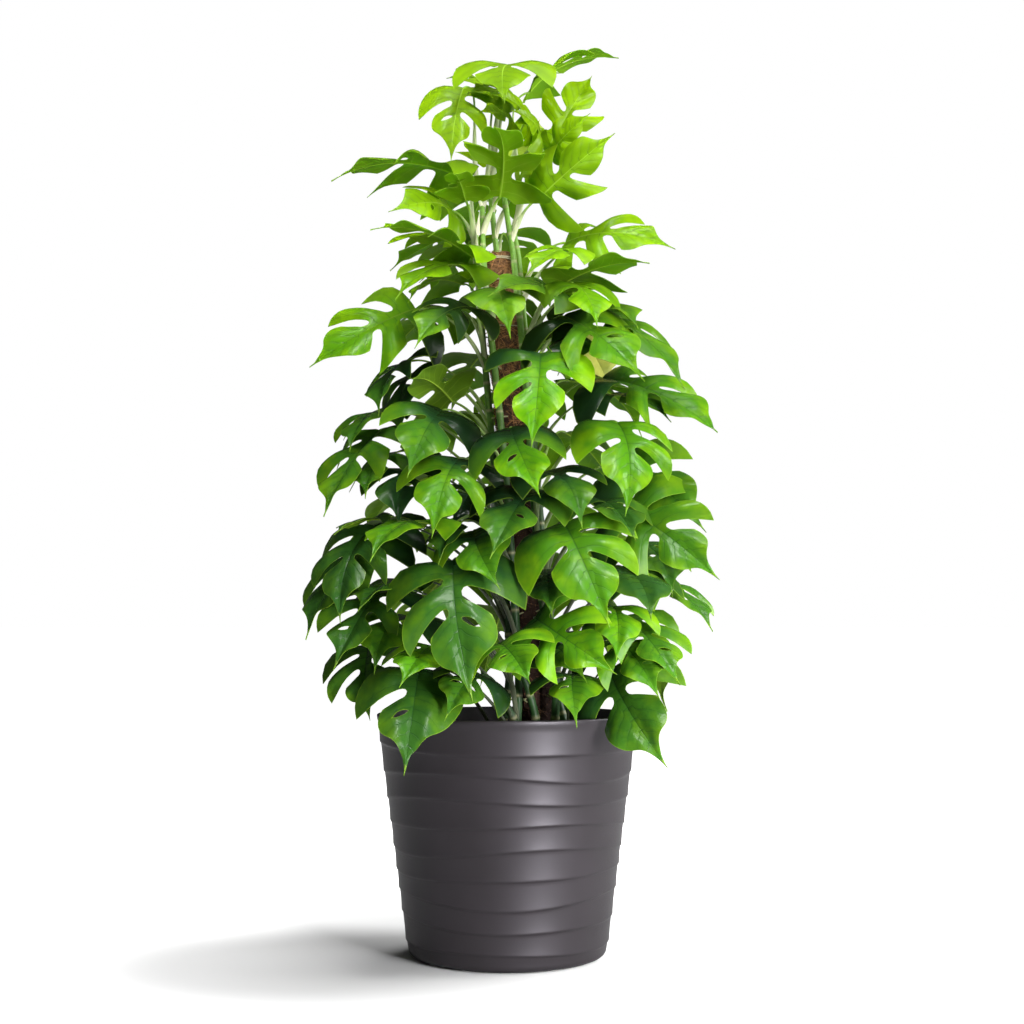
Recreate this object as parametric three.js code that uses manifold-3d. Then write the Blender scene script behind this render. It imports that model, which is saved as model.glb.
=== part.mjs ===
// Mini monstera (Rhaphidophora tetrasperma) trained up a coir pole in a tall ridged planter.
// Millimetres, +Z up. The origin is the middle of the planter's flat foot, and -Y is the front.
// Five leafy stems climb the pole. Each one is a single solid: a cane, its leaf stalks and its
// blades, which are cut into lobes between the side veins.
import * as THREE from 'three';
import { mergeVertices } from 'three/addons/utils/BufferGeometryUtils.js';
import Module from 'manifold-3d';

const wasm = await Module();
wasm.setup();

const DEGREE = Math.PI / 180;
const UP = new THREE.Vector3(0, 0, 1);
const FRONT = new THREE.Vector3(0, -1, 0);
const GAP = 0.3; // left between two neighbouring pieces

// ---------------------------------------------------------------- driving dimensions

// Planter: a tapered bucket with soft steps that wander up and down round its side.
const POT = {
  height: 318,
  rimRadius: 175,
  taper: 0.137, // radius lost for each millimetre downwards
  wall: 4.5,
  floor: 6,
  footRadius: 120,
  footBevel: 5,
  sides: 32,
};
const RIDGE = {
  count: 9,
  lowest: 23,
  pitch: 31.7,
  wander: 6, // how far a ridge line rises and falls on its way round
  swell: 1.6, // the ridge stands this far out of the cone
  tuck: 1.1, // and the wall under it lies this far in
  depth: 3.5, // height of the step from ridge to tuck
};

const SOIL = { level: 265, sides: 20, bump: 3 };

// Coir pole: leans towards the left as it rises.
const POLE = {
  radius: 23,
  foot: new THREE.Vector3(62, 0, 70),
  top: new THREE.Vector3(-14, 0, 941),
  sides: 12,
};

// Canes: the side of the pole that each one climbs, in degrees, and how high.
const CANE = { radius: 5.6, tipRadius: 3.6, root: 210, leanFrom: 270, splay: 32, steps: 9, sides: 6 };
const VINES = {
  front_left: { around: -125, top: 1010, leafGreen: 0x4f9a34 },
  front_right: { around: -45, top: 1030, leafGreen: 0x5aa838 },
  right: { around: 20, top: 985, leafGreen: 0x4a9430 },
  back: { around: 95, top: 1055, leafGreen: 0x437f30 },
  left: { around: 168, top: 975, leafGreen: 0x3f8036 },
};

// Leaf stalks
const STALK = { radius: 2.5, endRadius: 1.8, steps: 3 };

// Blades. Lengths along and across a blade are fractions of its length.
const BLADE = {
  thickness: 1,
  breadth: 0.58,
  slitAt: { 0: [], 1: [0.3], 2: [0.19, 0.44] }, // by the number of slits on a side
  midrib: [0.2, 0.45, 0.72],
};
const FACING = { up: 0.8, out: 0.5, front: 1.1 }; // what the upper face of a blade looks to

// Leaf plan: stem, where the blade joins its stalk, where its tip is, how much the blade looks to
// the front (0 to 1), and the slits on each side of its midrib.
const PLAN = [
  // crown
  ['front_left', [-60, -20, 1168], [-75, -65, 1060], 0.5, 1, 2],
  ['left', [-15, 15, 1165], [-82, 72, 1214], 0.1, 1, 1],
  ['right', [30, 5, 1170], [155, 30, 1228], 0, 2, 1],
  ['back', [2, -20, 1196], [-4, -138, 1110], 0.3, 1, 1],
  ['right', [56, 25, 1098], [116, 45, 1203], 0.7, 2, 2],
  ['front_right', [24, -40, 1115], [-15, -115, 1127], 0.6, 1, 2],
  ['front_left', [-10, -45, 1010], [-15, -175, 1065], 0.1, 2, 2],
  ['front_right', [41, -35, 1009], [137, -75, 1084], 0.5, 2, 1],
  ['left', [-65, 0, 1051], [-226, -67, 1031], 0.2, 2, 2],
  ['left', [-76, -5, 1009], [-149, -98, 987], 0.8, 1, 1],
  ['back', [-24, 40, 1078], [-57, 104, 1125], 0.2, 0, 1],
  // above the middle
  ['front_left', [-46, -45, 936], [-169, -132, 954], 0.1, 2, 2],
  ['left', [-49, -30, 925], [-140, -122, 870], 0.4, 2, 1],
  ['left', [-63, 15, 911], [-132, -62, 875], 0.3, 1, 1],
  ['left', [-124, -25, 862], [-252, -80, 780], 0.5, 2, 2],
  ['left', [-50, -70, 858], [-115, -150, 795], 0.4, 1, 2],
  ['right', [79, -5, 957], [215, -60, 940], 0.58, 2, 2],
  ['right', [71, -25, 911], [176, -108, 923], 0, 1, 1],
  ['front_right', [81, -60, 918], [29, -139, 872], 0.3, 1, 1],
  ['front_right', [71, -35, 892], [-19, -121, 880], 0, 1, 1],
  ['front_left', [-14, -85, 878], [3, -176, 802], 0.6, 0, 1],
  ['front_right', [86, -80, 910], [113, -168, 840], 0.4, 1, 1],
  ['right', [99, -10, 877], [167, -112, 833], 0.3, 2, 1],
  ['right', [111, -35, 876], [225, -106, 775], 0.4, 2, 2],
  ['front_right', [73, -80, 839], [166, -172, 747], 0.4, 2, 1],
  ['front_right', [43, -130, 784], [31, -210, 662], 0.9, 2, 1],
  ['right', [100, -60, 843], [67, -154, 776], 0.5, 1, 1],
  ['right', [106, 5, 829], [140, 90, 787], 0.8, 0, 0],
  ['right', [128, -15, 769], [275, -84, 688], 0.5, 2, 2],
  ['right', [126, 0, 744], [210, -84, 706], 0.3, 1, 2],
  // middle
  ['front_right', [142, -105, 698], [148, -190, 580], 0.9, 1, 2],
  ['front_right', [4, -130, 689], [38, -222, 599], 0.8, 1, 1],
  ['right', [155, -60, 590], [260, -150, 500], 0.9, 2, 2],
  ['right', [150, -5, 652], [254, -85, 565], 0.8, 1, 1],
  ['front_right', [49, -90, 635], [92, -189, 562], 0.4, 1, 1],
  ['right', [121, -80, 599], [157, -192, 545], 0.3, 1, 1],
  ['front_right', [72, -140, 565], [120, -245, 442], 0.8, 1, 2],
  ['right', [169, -60, 546], [209, -170, 478], 0.4, 1, 1],
  ['right', [148, -95, 512], [176, -215, 448], 0.5, 0, 1],
  ['right', [190, 0, 499], [260, -105, 435], 0.2, 2, 2],
  ['left', [-131, -10, 795], [-168, -99, 715], 0.2, 1, 2],
  ['left', [-128, 10, 805], [-139, -64, 711], 0.2, 1, 1],
  ['left', [-74, -30, 735], [-120, -134, 751], 0.3, 1, 1],
  ['front_left', [-85, -80, 733], [-122, -180, 643], 0.7, 1, 1],
  ['left', [-168, 5, 728], [-206, -99, 670], 0.2, 2, 1],
  ['left', [-172, -20, 698], [-234, -105, 584], 0.2, 2, 2],
  ['left', [-144, -25, 670], [-182, -130, 604], 0.2, 1, 2],
  ['front_left', [-63, -110, 650], [-91, -205, 551], 0.7, 1, 2],
  ['left', [-131, -60, 643], [-137, -160, 565], 0.6, 1, 1],
  ['front_right', [29, -120, 618], [-18, -225, 532], 0.5, 1, 1],
  // low
  ['front_left', [-43, -110, 557], [-12, -205, 485], 0.6, 1, 0],
  ['front_left', [-68, -140, 518], [-44, -225, 355], 0.9, 2, 1],
  ['left', [-150, -20, 574], [-218, -120, 555], 0.2, 1, 2],
  ['left', [-184, -10, 566], [-257, -97, 443], 0.3, 2, 2],
  ['left', [-175, -40, 559], [-212, -123, 440], 0.3, 2, 2],
  ['front_left', [-97, -75, 565], [-164, -183, 520], 0.3, 1, 1],
  ['left', [-134, -45, 513], [-185, -152, 474], 0.4, 1, 1],
  ['left', [-166, -30, 483], [-216, -138, 388], 0.4, 2, 2],
  ['front_left', [-133, -70, 448], [-166, -184, 383], 0.5, 1, 1],
  ['left', [-182, -40, 410], [-173, -150, 324], 0.4, 2, 1],
  ['front_left', [-112, -125, 380], [-122, -235, 266], 0.8, 1, 0],
  ['front_left', [-95, -120, 409], [-127, -225, 367], 0.5, 1, 1],
  ['front_left', [-32, -115, 356], [-73, -212, 311], 0.4, 1, 1],
  ['front_right', [35, -140, 445], [125, -235, 382], 0.8, 2, 2],
  ['front_left', [-10, -125, 405], [27, -236, 361], 0.6, 1, 1],
  ['front_right', [46, -100, 409], [94, -200, 372], 0.6, 0, 1],
  ['front_right', [84, -115, 373], [84, -212, 319], 0.5, 1, 0],
  ['right', [132, -110, 376], [190, -225, 270], 0.8, 1, 1],
  ['right', [136, -90, 409], [183, -205, 345], 0.6, 2, 2],
  ['front_right', [134, -130, 451], [133, -230, 390], 0.7, 1, 1],
  ['right', [154, -50, 448], [208, -160, 370], 0.5, 2, 2],
  ['front_right', [53, -75, 508], [55, -180, 452], 0.5, 1, 1],
  ['front_left', [-49, -60, 627], [-70, -155, 565], 0.5, 1, 1],
  ['front_left', [-52, -55, 572], [-85, -145, 518], 0.5, 1, 1],
  // small leaves inside the crown
  ['front_left', [9, -30, 1116], [-36, -80, 1116], 0.4, 1, 1],
  ['back', [44, -20, 1091], [8, -90, 1106], 0.6, 1, 1],
  ['back', [22, 45, 1112], [45, 65, 1176], 0.6, 1, 1],
  ['back', [-2, 10, 1146], [-50, -40, 1132], 0.4, 1, 1],
  ['right', [57, -15, 1078], [108, -45, 1122], 0.5, 1, 2],
  ['left', [-56, -30, 1003], [-68, -105, 1018], 0.4, 1, 1],
  ['back', [17, 20, 1029], [45, -25, 1064], 0.6, 1, 1],
];

// Leaves of the far side, which follow a rule: each next one a golden angle further round.
const FAR_SIDE = {
  count: 23,
  lowest: 420,
  highest: 1050,
  from: 28,
  to: 156,
  reach: 265, // tip distance from the pole in the widest part
  length: 150,
};

// Small moves that are tried, the least first, until a leaf hangs clear of what is already there:
// a twist about its midrib in degrees, then millimetres to the back and up.
const MOVES = [];
for (const twist of [0, 14, -14, 28, -28]) {
  for (const depth of [0, 12, -12, 24, -24, 36, -36]) {
    for (const rise of [0, 8, -8, 16, -16, 24, -24]) {
      const effort = Math.abs(twist) / 14 + Math.abs(depth) / 12 + Math.abs(rise) / 7;
      MOVES.push({ twist, depth, rise, effort });
    }
  }
}
MOVES.sort((one, other) => one.effort - other.effort);

// ---------------------------------------------------------------- solids

/** Closed solid from a list of points and a list of triangles that face out. */
function solidFrom(points, triangles) {
  const vertProperties = new Float32Array(points.flatMap((p) => [p.x, p.y, p.z]));
  const triVerts = new Uint32Array(triangles.flat());
  return new wasm.Manifold(new wasm.Mesh({ numProp: 3, vertProperties, triVerts }));
}

/** Solid through a pile of rings with equal point counts, closed by a fan at each end. */
function loft(rings) {
  const sides = rings[0].length;
  const points = rings.flat();
  const first = points.length;
  const last = first + 1;
  points.push(centreOf(rings[0]), centreOf(rings[rings.length - 1]));
  const triangles = [];
  for (let i = 0; i < sides; i += 1) {
    const j = (i + 1) % sides;
    triangles.push([first, j, i]);
    for (let ring = 0; ring < rings.length - 1; ring += 1) {
      const low = ring * sides;
      const high = low + sides;
      triangles.push([low + i, low + j, high + j]);
      triangles.push([low + i, high + j, high + i]);
    }
    const end = (rings.length - 1) * sides;
    triangles.push([last, end + i, end + j]);
  }
  return solidFrom(points, triangles);
}

/** Middle of a ring of points. */
function centreOf(ring) {
  const sum = ring.reduce((total, point) => total.add(point), new THREE.Vector3());
  return sum.divideScalar(ring.length);
}

/** Level ring about the Z axis, with radius and height as functions of the angle. */
function levelRing(sides, radiusAt, heightAt) {
  const ring = [];
  for (let i = 0; i < sides; i += 1) {
    const angle = (i / sides) * 2 * Math.PI;
    const radius = radiusAt(angle);
    ring.push(new THREE.Vector3(radius * Math.cos(angle), radius * Math.sin(angle), heightAt(angle)));
  }
  return ring;
}

/** Tube along a list of points, with a radius at each one and one side turned to `flank`. */
function tube(points, radii, sides, flank) {
  const rings = points.map((point, k) => {
    const before = points[Math.max(k - 1, 0)];
    const after = points[Math.min(k + 1, points.length - 1)];
    const ahead = after.clone().sub(before).normalize();
    const across = flank.clone().addScaledVector(ahead, -flank.dot(ahead)).normalize();
    const outward = ahead.clone().cross(across);
    const ring = [];
    for (let i = 0; i < sides; i += 1) {
      const angle = (i / sides) * 2 * Math.PI;
      const spoke = across.clone().multiplyScalar(Math.cos(angle));
      spoke.addScaledVector(outward, Math.sin(angle));
      ring.push(point.clone().addScaledVector(spoke, radii[k]));
    }
    return ring;
  });
  return loft(rings);
}

/** Solid from a three.js geometry, moved by a matrix. */
function solidFromGeometry(source, matrix) {
  const geometry = source.clone().applyMatrix4(matrix);
  geometry.deleteAttribute('normal');
  geometry.deleteAttribute('uv');
  const merged = mergeVertices(geometry, 1e-4);
  const vertProperties = new Float32Array(merged.attributes.position.array);
  const triVerts = new Uint32Array(merged.index.array);
  return new wasm.Manifold(new wasm.Mesh({ numProp: 3, vertProperties, triVerts }));
}

/** Named mesh of a solid. */
function meshOf(name, solid, material) {
  const { vertProperties, triVerts } = solid.getMesh();
  const geometry = new THREE.BufferGeometry();
  geometry.setAttribute('position', new THREE.BufferAttribute(vertProperties, 3));
  geometry.setIndex(new THREE.BufferAttribute(triVerts, 1));
  geometry.computeVertexNormals();
  const mesh = new THREE.Mesh(geometry, new THREE.MeshStandardMaterial(material));
  mesh.name = name;
  return mesh;
}

/** Numbers from 0 to 1 that always come out the same for one seed. */
function seededDraw(seed) {
  let state = (seed * 7919 + 12345) >>> 0;
  return () => {
    state = (Math.imul(state, 1664525) + 1013904223) >>> 0;
    return state / 4294967296;
  };
}

// ---------------------------------------------------------------- planter and soil

/** Radius of the planter's plain cone at a height. */
function coneRadius(z) {
  return POT.rimRadius - POT.taper * (POT.height - z);
}

/** Height of a ridge line at an angle round the planter. */
function ridgeHeight(index, angle) {
  const level = RIDGE.lowest + RIDGE.pitch * index;
  const fade = index === 0 ? 0.4 : 1;
  const wave = Math.sin(2 * angle + 0.9 * index) + 0.5 * Math.sin(3 * angle - 1.7 * index);
  return level + fade * RIDGE.wander * 0.8 * wave;
}

function makePot() {
  const { height, sides, wall, floor, footRadius, footBevel } = POT;
  const flat = (radius, z) => levelRing(sides, () => radius, () => z);
  const rings = [flat(footRadius, 0), flat(coneRadius(footBevel) - 4, footBevel - 1)];
  for (let index = 0; index < RIDGE.count; index += 1) {
    const top = (angle) => ridgeHeight(index, angle);
    const foot = (angle) => top(angle) - RIDGE.depth;
    rings.push(levelRing(sides, (angle) => coneRadius(foot(angle)) - RIDGE.tuck, foot));
    rings.push(levelRing(sides, (angle) => coneRadius(top(angle)) + RIDGE.swell, top));
  }
  rings.push(flat(POT.rimRadius - 1.6, height - 10));
  rings.push(flat(POT.rimRadius, height - 1.5));
  rings.push(flat(POT.rimRadius - wall / 2, height));
  rings.push(flat(POT.rimRadius - wall, height - 1.5));
  rings.push(flat(coneRadius(floor) - wall, floor));
  return loft(rings);
}

function makeSoil(holes) {
  const { level, sides, bump } = SOIL;
  const inner = (z) => coneRadius(z) - POT.wall - GAP * 2;
  const low = POT.floor + GAP;
  const topRing = (radius) => levelRing(
    sides,
    () => radius,
    (angle) => level + bump * Math.sin(3 * angle + radius / 9) * Math.cos(2 * angle + radius / 23),
  );
  const rings = [
    levelRing(sides, () => inner(low), () => low),
    levelRing(sides, () => inner(level - 6), () => level - 6),
    topRing(inner(level) - 5),
    topRing(120),
    topRing(70),
  ];
  return holes.reduce((soil, hole) => soil.subtract(hole), loft(rings));
}

/** Coir pole as a three.js cylinder, `extra` wider and `below` longer at its foot. */
function poleSolid(extra, below, above) {
  const lean = POLE.top.clone().sub(POLE.foot);
  const length = lean.length() + below + above;
  const direction = lean.clone().normalize();
  const middle = POLE.foot.clone().add(POLE.top).multiplyScalar(0.5);
  middle.addScaledVector(direction, (above - below) / 2);
  const geometry = new THREE.CylinderGeometry(
    POLE.radius + extra,
    POLE.radius + extra,
    length,
    POLE.sides,
  );
  const turn = new THREE.Quaternion().setFromUnitVectors(new THREE.Vector3(0, 1, 0), direction);
  const matrix = new THREE.Matrix4().compose(middle, turn, new THREE.Vector3(1, 1, 1));
  return solidFromGeometry(geometry, matrix);
}

/** Middle of the pole at a height, also past its top. */
function poleAxis(z) {
  return POLE.foot.clone().lerp(POLE.top, (z - POLE.foot.z) / (POLE.top.z - POLE.foot.z));
}

// ---------------------------------------------------------------- canes

/** Middle of a cane at a height: upright in the soil, then leaning in to climb the pole. */
function caneAxis(vine, z) {
  const { around } = VINES[vine];
  const leaning = Math.max(z, CANE.leanFrom);
  const low = THREE.MathUtils.clamp(1 - (leaning - CANE.leanFrom) / 150, 0, 1);
  const high = THREE.MathUtils.clamp((z - POLE.top.z) / 120, 0, 1);
  const sway = 5 * Math.sin(z / 90 + around) * (1 - low) * (1 - high);
  const spread = POLE.radius + CANE.radius + 1.4 + CANE.splay * low * low - 10 * high;
  const angle = (around + sway) * DEGREE;
  const spoke = new THREE.Vector3(spread * Math.cos(angle), spread * Math.sin(angle), 0);
  return poleAxis(leaning).setZ(z).add(spoke);
}

function caneSolid(vine) {
  const { top, around } = VINES[vine];
  const points = [caneAxis(vine, CANE.root)];
  const radii = [CANE.radius];
  for (let k = 0; k <= CANE.steps; k += 1) {
    const z = THREE.MathUtils.lerp(CANE.leanFrom, top, k / CANE.steps);
    points.push(caneAxis(vine, z));
    radii.push(THREE.MathUtils.lerp(CANE.radius, CANE.tipRadius, (k / CANE.steps) ** 2));
  }
  const flank = new THREE.Vector3(-Math.sin(around * DEGREE), Math.cos(around * DEGREE), 0);
  return tube(points, radii, CANE.sides, flank);
}

/** Plain round hole in the soil for a cane. */
function caneHole(vine) {
  const low = caneAxis(vine, CANE.root - GAP);
  const high = low.clone().setZ(SOIL.level + 40);
  const radius = CANE.radius + 1.2;
  return tube([low, high], [radius, radius], 8, new THREE.Vector3(1, 0, 0));
}

// ---------------------------------------------------------------- leaves

/** Place in a flat blade: `s` along the midrib, `t` out along the side vein that leaves there. */
function veinPlace(s, t, side) {
  const reach = BLADE.breadth * (1 - s) ** 1.15 * (1 - 0.55 * Math.exp(-14 * s));
  const sweep = -0.4 + s * (4.2 - s * (4.2 - 1.6 * s));
  return { along: s + sweep * reach * t ** 1.5, across: side * reach * t };
}

/** A leaf's frame and its own bends, from its row in the plan and a small move. */
function layLeaf(row, index, move) {
  const [vine, basePlace, tipPlace, frontness, ...slits] = row;
  const draw = seededDraw(index + 1);
  const shift = new THREE.Vector3(0, move.depth, move.rise);
  const base = new THREE.Vector3(...basePlace).add(shift);
  const tip = new THREE.Vector3(...tipPlace).add(shift);
  const chord = tip.clone().sub(base);
  const length = chord.length();
  const along = chord.clone().divideScalar(length);
  const outward = base.clone().lerp(tip, 0.5).sub(poleAxis(base.z)).setZ(0).normalize();
  const facing = UP.clone().multiplyScalar(FACING.up).addScaledVector(outward, FACING.out);
  facing.multiplyScalar(1 - frontness).addScaledVector(FRONT, FACING.front * frontness);
  const upper = facing.addScaledVector(along, -facing.dot(along)).normalize();
  upper.applyAxisAngle(along, (move.twist + 20 * (draw() - 0.5)) * DEGREE);
  const sideways = along.clone().cross(upper);
  return {
    vine,
    base,
    tip,
    length,
    along,
    upper,
    sideways,
    slits,
    arch: 0.07 + 0.08 * draw(),
    rise: 0.22 + 0.12 * draw(),
    droop: 0.75 + 0.6 * draw(),
    hook: 0.09 * (draw() - 0.5),
    stagger: 0.035 * (draw() - 0.5),
  };
}

/** Point of a bent blade above its place in the flat one. */
function bladePoint(leaf, { along, across }) {
  const bow = 4 * along * (1 - along);
  const height = leaf.arch * bow + leaf.rise * Math.abs(across) - leaf.droop * across * across;
  const point = leaf.base.clone();
  point.addScaledVector(leaf.along, leaf.length * along);
  point.addScaledVector(leaf.sideways, leaf.length * (across + leaf.hook * bow));
  point.addScaledVector(leaf.upper, leaf.length * height);
  return point;
}

/** Edge of one half of a blade as [s, t] from base to tip: broad lobes with deep round slits. */
function halfEdge(slits, stagger) {
  const cuts = BLADE.slitAt[slits].map((s) => s + stagger);
  const edge = [[0, 0.6], [0.05, 0.86]];
  for (const cut of cuts) {
    edge.push([cut - 0.05, 1.08], [cut - 0.035, 0.22], [cut + 0.045, 0.2], [cut + 0.06, 0.77]);
  }
  const last = cuts.at(-1) ?? 0;
  edge.push([THREE.MathUtils.lerp(last, 1, 0.4), 0.95]);
  edge.push([THREE.MathUtils.lerp(last, 1, 0.72), 0.78]);
  return edge;
}

/** Flat places of a blade, its triangles, and its rim from one side of the stalk to the other. */
function bladeLayout(leaf) {
  const neck = STALK.endRadius / leaf.length;
  const places = [{ along: 0, across: neck }, { along: 0, across: -neck }];
  const midrib = BLADE.midrib.map((s) => places.push({ along: s, across: 0 }) - 1);
  const tip = places.push({ along: 1, across: 0 }) - 1;
  const triangles = [[1, 0, midrib[0]]];
  const rim = [];
  for (const side of [1, -1]) {
    const edge = halfEdge(leaf.slits[side === 1 ? 0 : 1], side * leaf.stagger);
    const ids = edge.map(([s, t]) => places.push(veinPlace(s, t, side)) - 1);
    const neckId = side === 1 ? 0 : 1;
    const outline = [neckId, ...ids, tip, ...midrib.slice().reverse()];
    // The midrib is bowed into its half here, so that no triangle has all its corners on it.
    const flat = outline.map((id) => {
      const { along, across } = places[id];
      const bow = across === 0 ? side * 0.07 * Math.sqrt(along * (1 - along)) : 0;
      return new THREE.Vector2(along, across + bow);
    });
    for (const corners of THREE.ShapeUtils.triangulateShape(flat, [])) {
      const turned = THREE.ShapeUtils.area(corners.map((k) => flat[k])) < 0;
      triangles.push((turned ? corners : corners.reverse()).map((k) => outline[k]));
    }
    rim.push(...(side === 1 ? [neckId, ...ids, tip] : [...ids.reverse(), neckId]));
  }
  return { places, triangles, rim };
}

/**
 * Rings of a leaf stalk, from the blade back to the cane. It grows up and out of the cane, over in
 * an arc and flat into the blade.
 */
function stalkRings(leaf, extra) {
  const level = caneAxis(leaf.vine, leaf.base.z);
  const away = Math.hypot(leaf.base.x - level.x, leaf.base.y - level.y);
  const ceiling = VINES[leaf.vine].top - 6;
  const height = THREE.MathUtils.clamp(leaf.base.z - 25 - 0.6 * away, SOIL.level + 12, ceiling);
  const start = caneAxis(leaf.vine, height);
  const span = leaf.base.distanceTo(start);
  const outward = leaf.base.clone().sub(start).setZ(0).normalize();
  const rising = start.clone().addScaledVector(UP, 0.42 * span).addScaledVector(outward, 0.14 * span);
  const arriving = leaf.base.clone().addScaledVector(outward, -0.16 * span);
  arriving.addScaledVector(leaf.along, -0.12 * span);
  const path = new THREE.CubicBezierCurve3(start, rising, arriving, leaf.base);
  const rings = [];
  let flank = leaf.sideways; // carried on from ring to ring, so that the section never flips over
  for (let k = STALK.steps - 1; k >= 0; k -= 1) {
    const share = k / STALK.steps;
    const radius = THREE.MathUtils.lerp(STALK.radius, STALK.endRadius, share) + extra;
    const ahead = path.getTangent(share);
    const side = flank.clone().addScaledVector(ahead, -flank.dot(ahead)).normalize();
    const back = side.clone().cross(ahead);
    flank = side;
    const corner = (x, y) => path.getPoint(share)
      .addScaledVector(side, x * radius)
      .addScaledVector(back, y * radius);
    rings.push([corner(1, 0.6), corner(-1, 0.6), corner(-1, -0.6), corner(1, -0.6)]);
  }
  return rings;
}

/** Leaf as one thin solid: both faces of the blade in the same triangles, its rim and stalk. */
function leafSolid(leaf, thickness, extra) {
  const { places, triangles, rim } = bladeLayout(leaf);
  const middle = places.map((place) => bladePoint(leaf, place));
  const lifted = (amount) => middle.map((p) => p.clone().addScaledVector(leaf.upper, amount));
  const points = [...lifted(thickness / 2), ...lifted(-thickness / 2)];
  const under = middle.length;
  const shell = [];
  for (const [a, b, c] of triangles) {
    shell.push([a, b, c], [under + a, under + c, under + b]);
  }
  for (let k = 0; k < rim.length - 1; k += 1) {
    const a = rim[k];
    const b = rim[k + 1];
    shell.push([b, a, under + a], [b, under + a, under + b]);
  }
  // The stalk's rings run on from the four corners of the blade's neck.
  let front = [0, 1, under + 1, under];
  for (const ring of stalkRings(leaf, extra)) {
    const back = ring.map((point) => points.push(point) - 1);
    for (let i = 0; i < 4; i += 1) {
      const j = (i + 1) % 4;
      shell.push([front[i], front[j], back[j]], [front[i], back[j], back[i]]);
    }
    front = back;
  }
  shell.push([front[0], front[1], front[2]], [front[0], front[2], front[3]]);
  return solidFrom(points, shell);
}

/** Rows for the far side of the plant. */
function farSideRows() {
  const rows = [];
  for (let i = 0; i < FAR_SIDE.count; i += 1) {
    const share = (i + 0.5) / FAR_SIDE.count;
    const z = THREE.MathUtils.lerp(FAR_SIDE.lowest, FAR_SIDE.highest, share);
    const angle = THREE.MathUtils.lerp(FAR_SIDE.from, FAR_SIDE.to, (i * 0.618) % 1);
    const narrowing = 0.45 * share ** 2 + 0.2 * Math.max(0, 1 - share / 0.25);
    const reach = FAR_SIDE.reach * (1 - narrowing);
    const length = FAR_SIDE.length * (1 - 0.15 * share);
    const hub = poleAxis(z);
    const outward = new THREE.Vector3(Math.cos(angle * DEGREE), Math.sin(angle * DEGREE), 0);
    const drop = length * (0.75 - 0.5 * share);
    const run = Math.sqrt(length ** 2 - drop ** 2);
    const base = hub.clone().addScaledVector(outward, reach - run);
    const tip = hub.clone().addScaledVector(outward, reach).setZ(z - drop);
    const vine = angle < 55 ? 'right' : angle < 128 ? 'back' : 'left';
    rows.push([vine, base.toArray(), tip.toArray(), 0, 1 + (i % 2), 2 - (i % 3 ? 1 : 0)]);
  }
  return rows;
}

/** True where two solids share some space. */
function meets(one, other) {
  const a = one.boundingBox();
  const b = other.boundingBox();
  if ([0, 1, 2].some((axis) => a.min[axis] > b.max[axis] || b.min[axis] > a.max[axis])) {
    return false;
  }
  const shared = one.intersect(other);
  const empty = shared.isEmpty();
  shared.delete();
  return !empty;
}

/** Number of standing solids that a leaf would meet, those of other stems counted tenfold. */
function crossings(leaf, standing) {
  const spread = leafSolid(leaf, BLADE.thickness + 1.2, 0.5);
  let count = 0;
  for (const { owner, solid, root } of standing) {
    if (!(root && owner === leaf.vine) && meets(spread, solid)) {
      count += owner === leaf.vine ? 1 : 10;
    }
  }
  spread.delete();
  return count;
}

/** The first move that leaves the leaf clear, or the one that meets least. */
function settleLeaf(row, index, standing) {
  let best = null;
  let fewest = Infinity;
  for (const move of MOVES) {
    const leaf = layLeaf(row, index, move);
    const count = crossings(leaf, standing);
    if (count < fewest) {
      best = leaf;
      fewest = count;
    }
    if (count === 0) {
      break;
    }
  }
  return best;
}

/** Stem and leaves in one body: hollows that crossing leaves close off are filled. */
function fuse(solids) {
  const bodies = wasm.Manifold.union(solids).decompose();
  return bodies.reduce((largest, body) => (body.volume() > largest.volume() ? body : largest));
}

// ---------------------------------------------------------------- the plant in its planter

const pot = makePot();
const pole = poleSolid(0, 0, 0);
const canes = Object.fromEntries(Object.keys(VINES).map((vine) => [vine, caneSolid(vine)]));
const holes = Object.keys(VINES).map((vine) => caneHole(vine));
const soil = makeSoil([poleSolid(GAP * 2, GAP, 0), ...holes]);

const standing = [
  { owner: 'pot', solid: pot },
  { owner: 'soil', solid: soil },
  { owner: 'pole', solid: pole },
];
const pieces = {};
for (const [vine, solid] of Object.entries(canes)) {
  standing.push({ owner: vine, solid, root: true });
  pieces[vine] = [solid];
}
[...PLAN, ...farSideRows()].forEach((row, index) => {
  const leaf = settleLeaf(row, index, standing);
  const solid = leafSolid(leaf, BLADE.thickness, 0);
  standing.push({ owner: leaf.vine, solid });
  pieces[leaf.vine].push(solid);
});

const plant = new THREE.Group();
plant.add(meshOf('pot', pot, { color: 0x4b484d, roughness: 0.5, metalness: 0 }));
plant.add(meshOf('potting_soil', soil, { color: 0x2c211a, roughness: 1, metalness: 0 }));
plant.add(meshOf('coir_pole', pole, { color: 0x6e4a2c, roughness: 1, metalness: 0 }));
for (const [vine, { leafGreen }] of Object.entries(VINES)) {
  const material = { color: leafGreen, roughness: 0.45, metalness: 0 };
  plant.add(meshOf(`${vine}_vine`, fuse(pieces[vine]), material));
}

export default plant;
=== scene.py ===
"""Looks of a mini monstera that climbs a coir pole out of a ridged planter.

Every piece is worked out in millimetres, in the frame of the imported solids, and turned into
metres once, where its mesh is made. The leafy stems repeat the plan of the solids: the same
stalk arcs and the same bent blades, with finer edges, ribs and side veins.
"""

import logging
import math
from dataclasses import dataclass, field
from enum import Enum
from functools import partial
from itertools import combinations, pairwise, product
from typing import Callable, Iterable, Iterator, NamedTuple

import bpy
import numpy as np
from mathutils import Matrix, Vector
from mathutils.kdtree import KDTree


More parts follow.
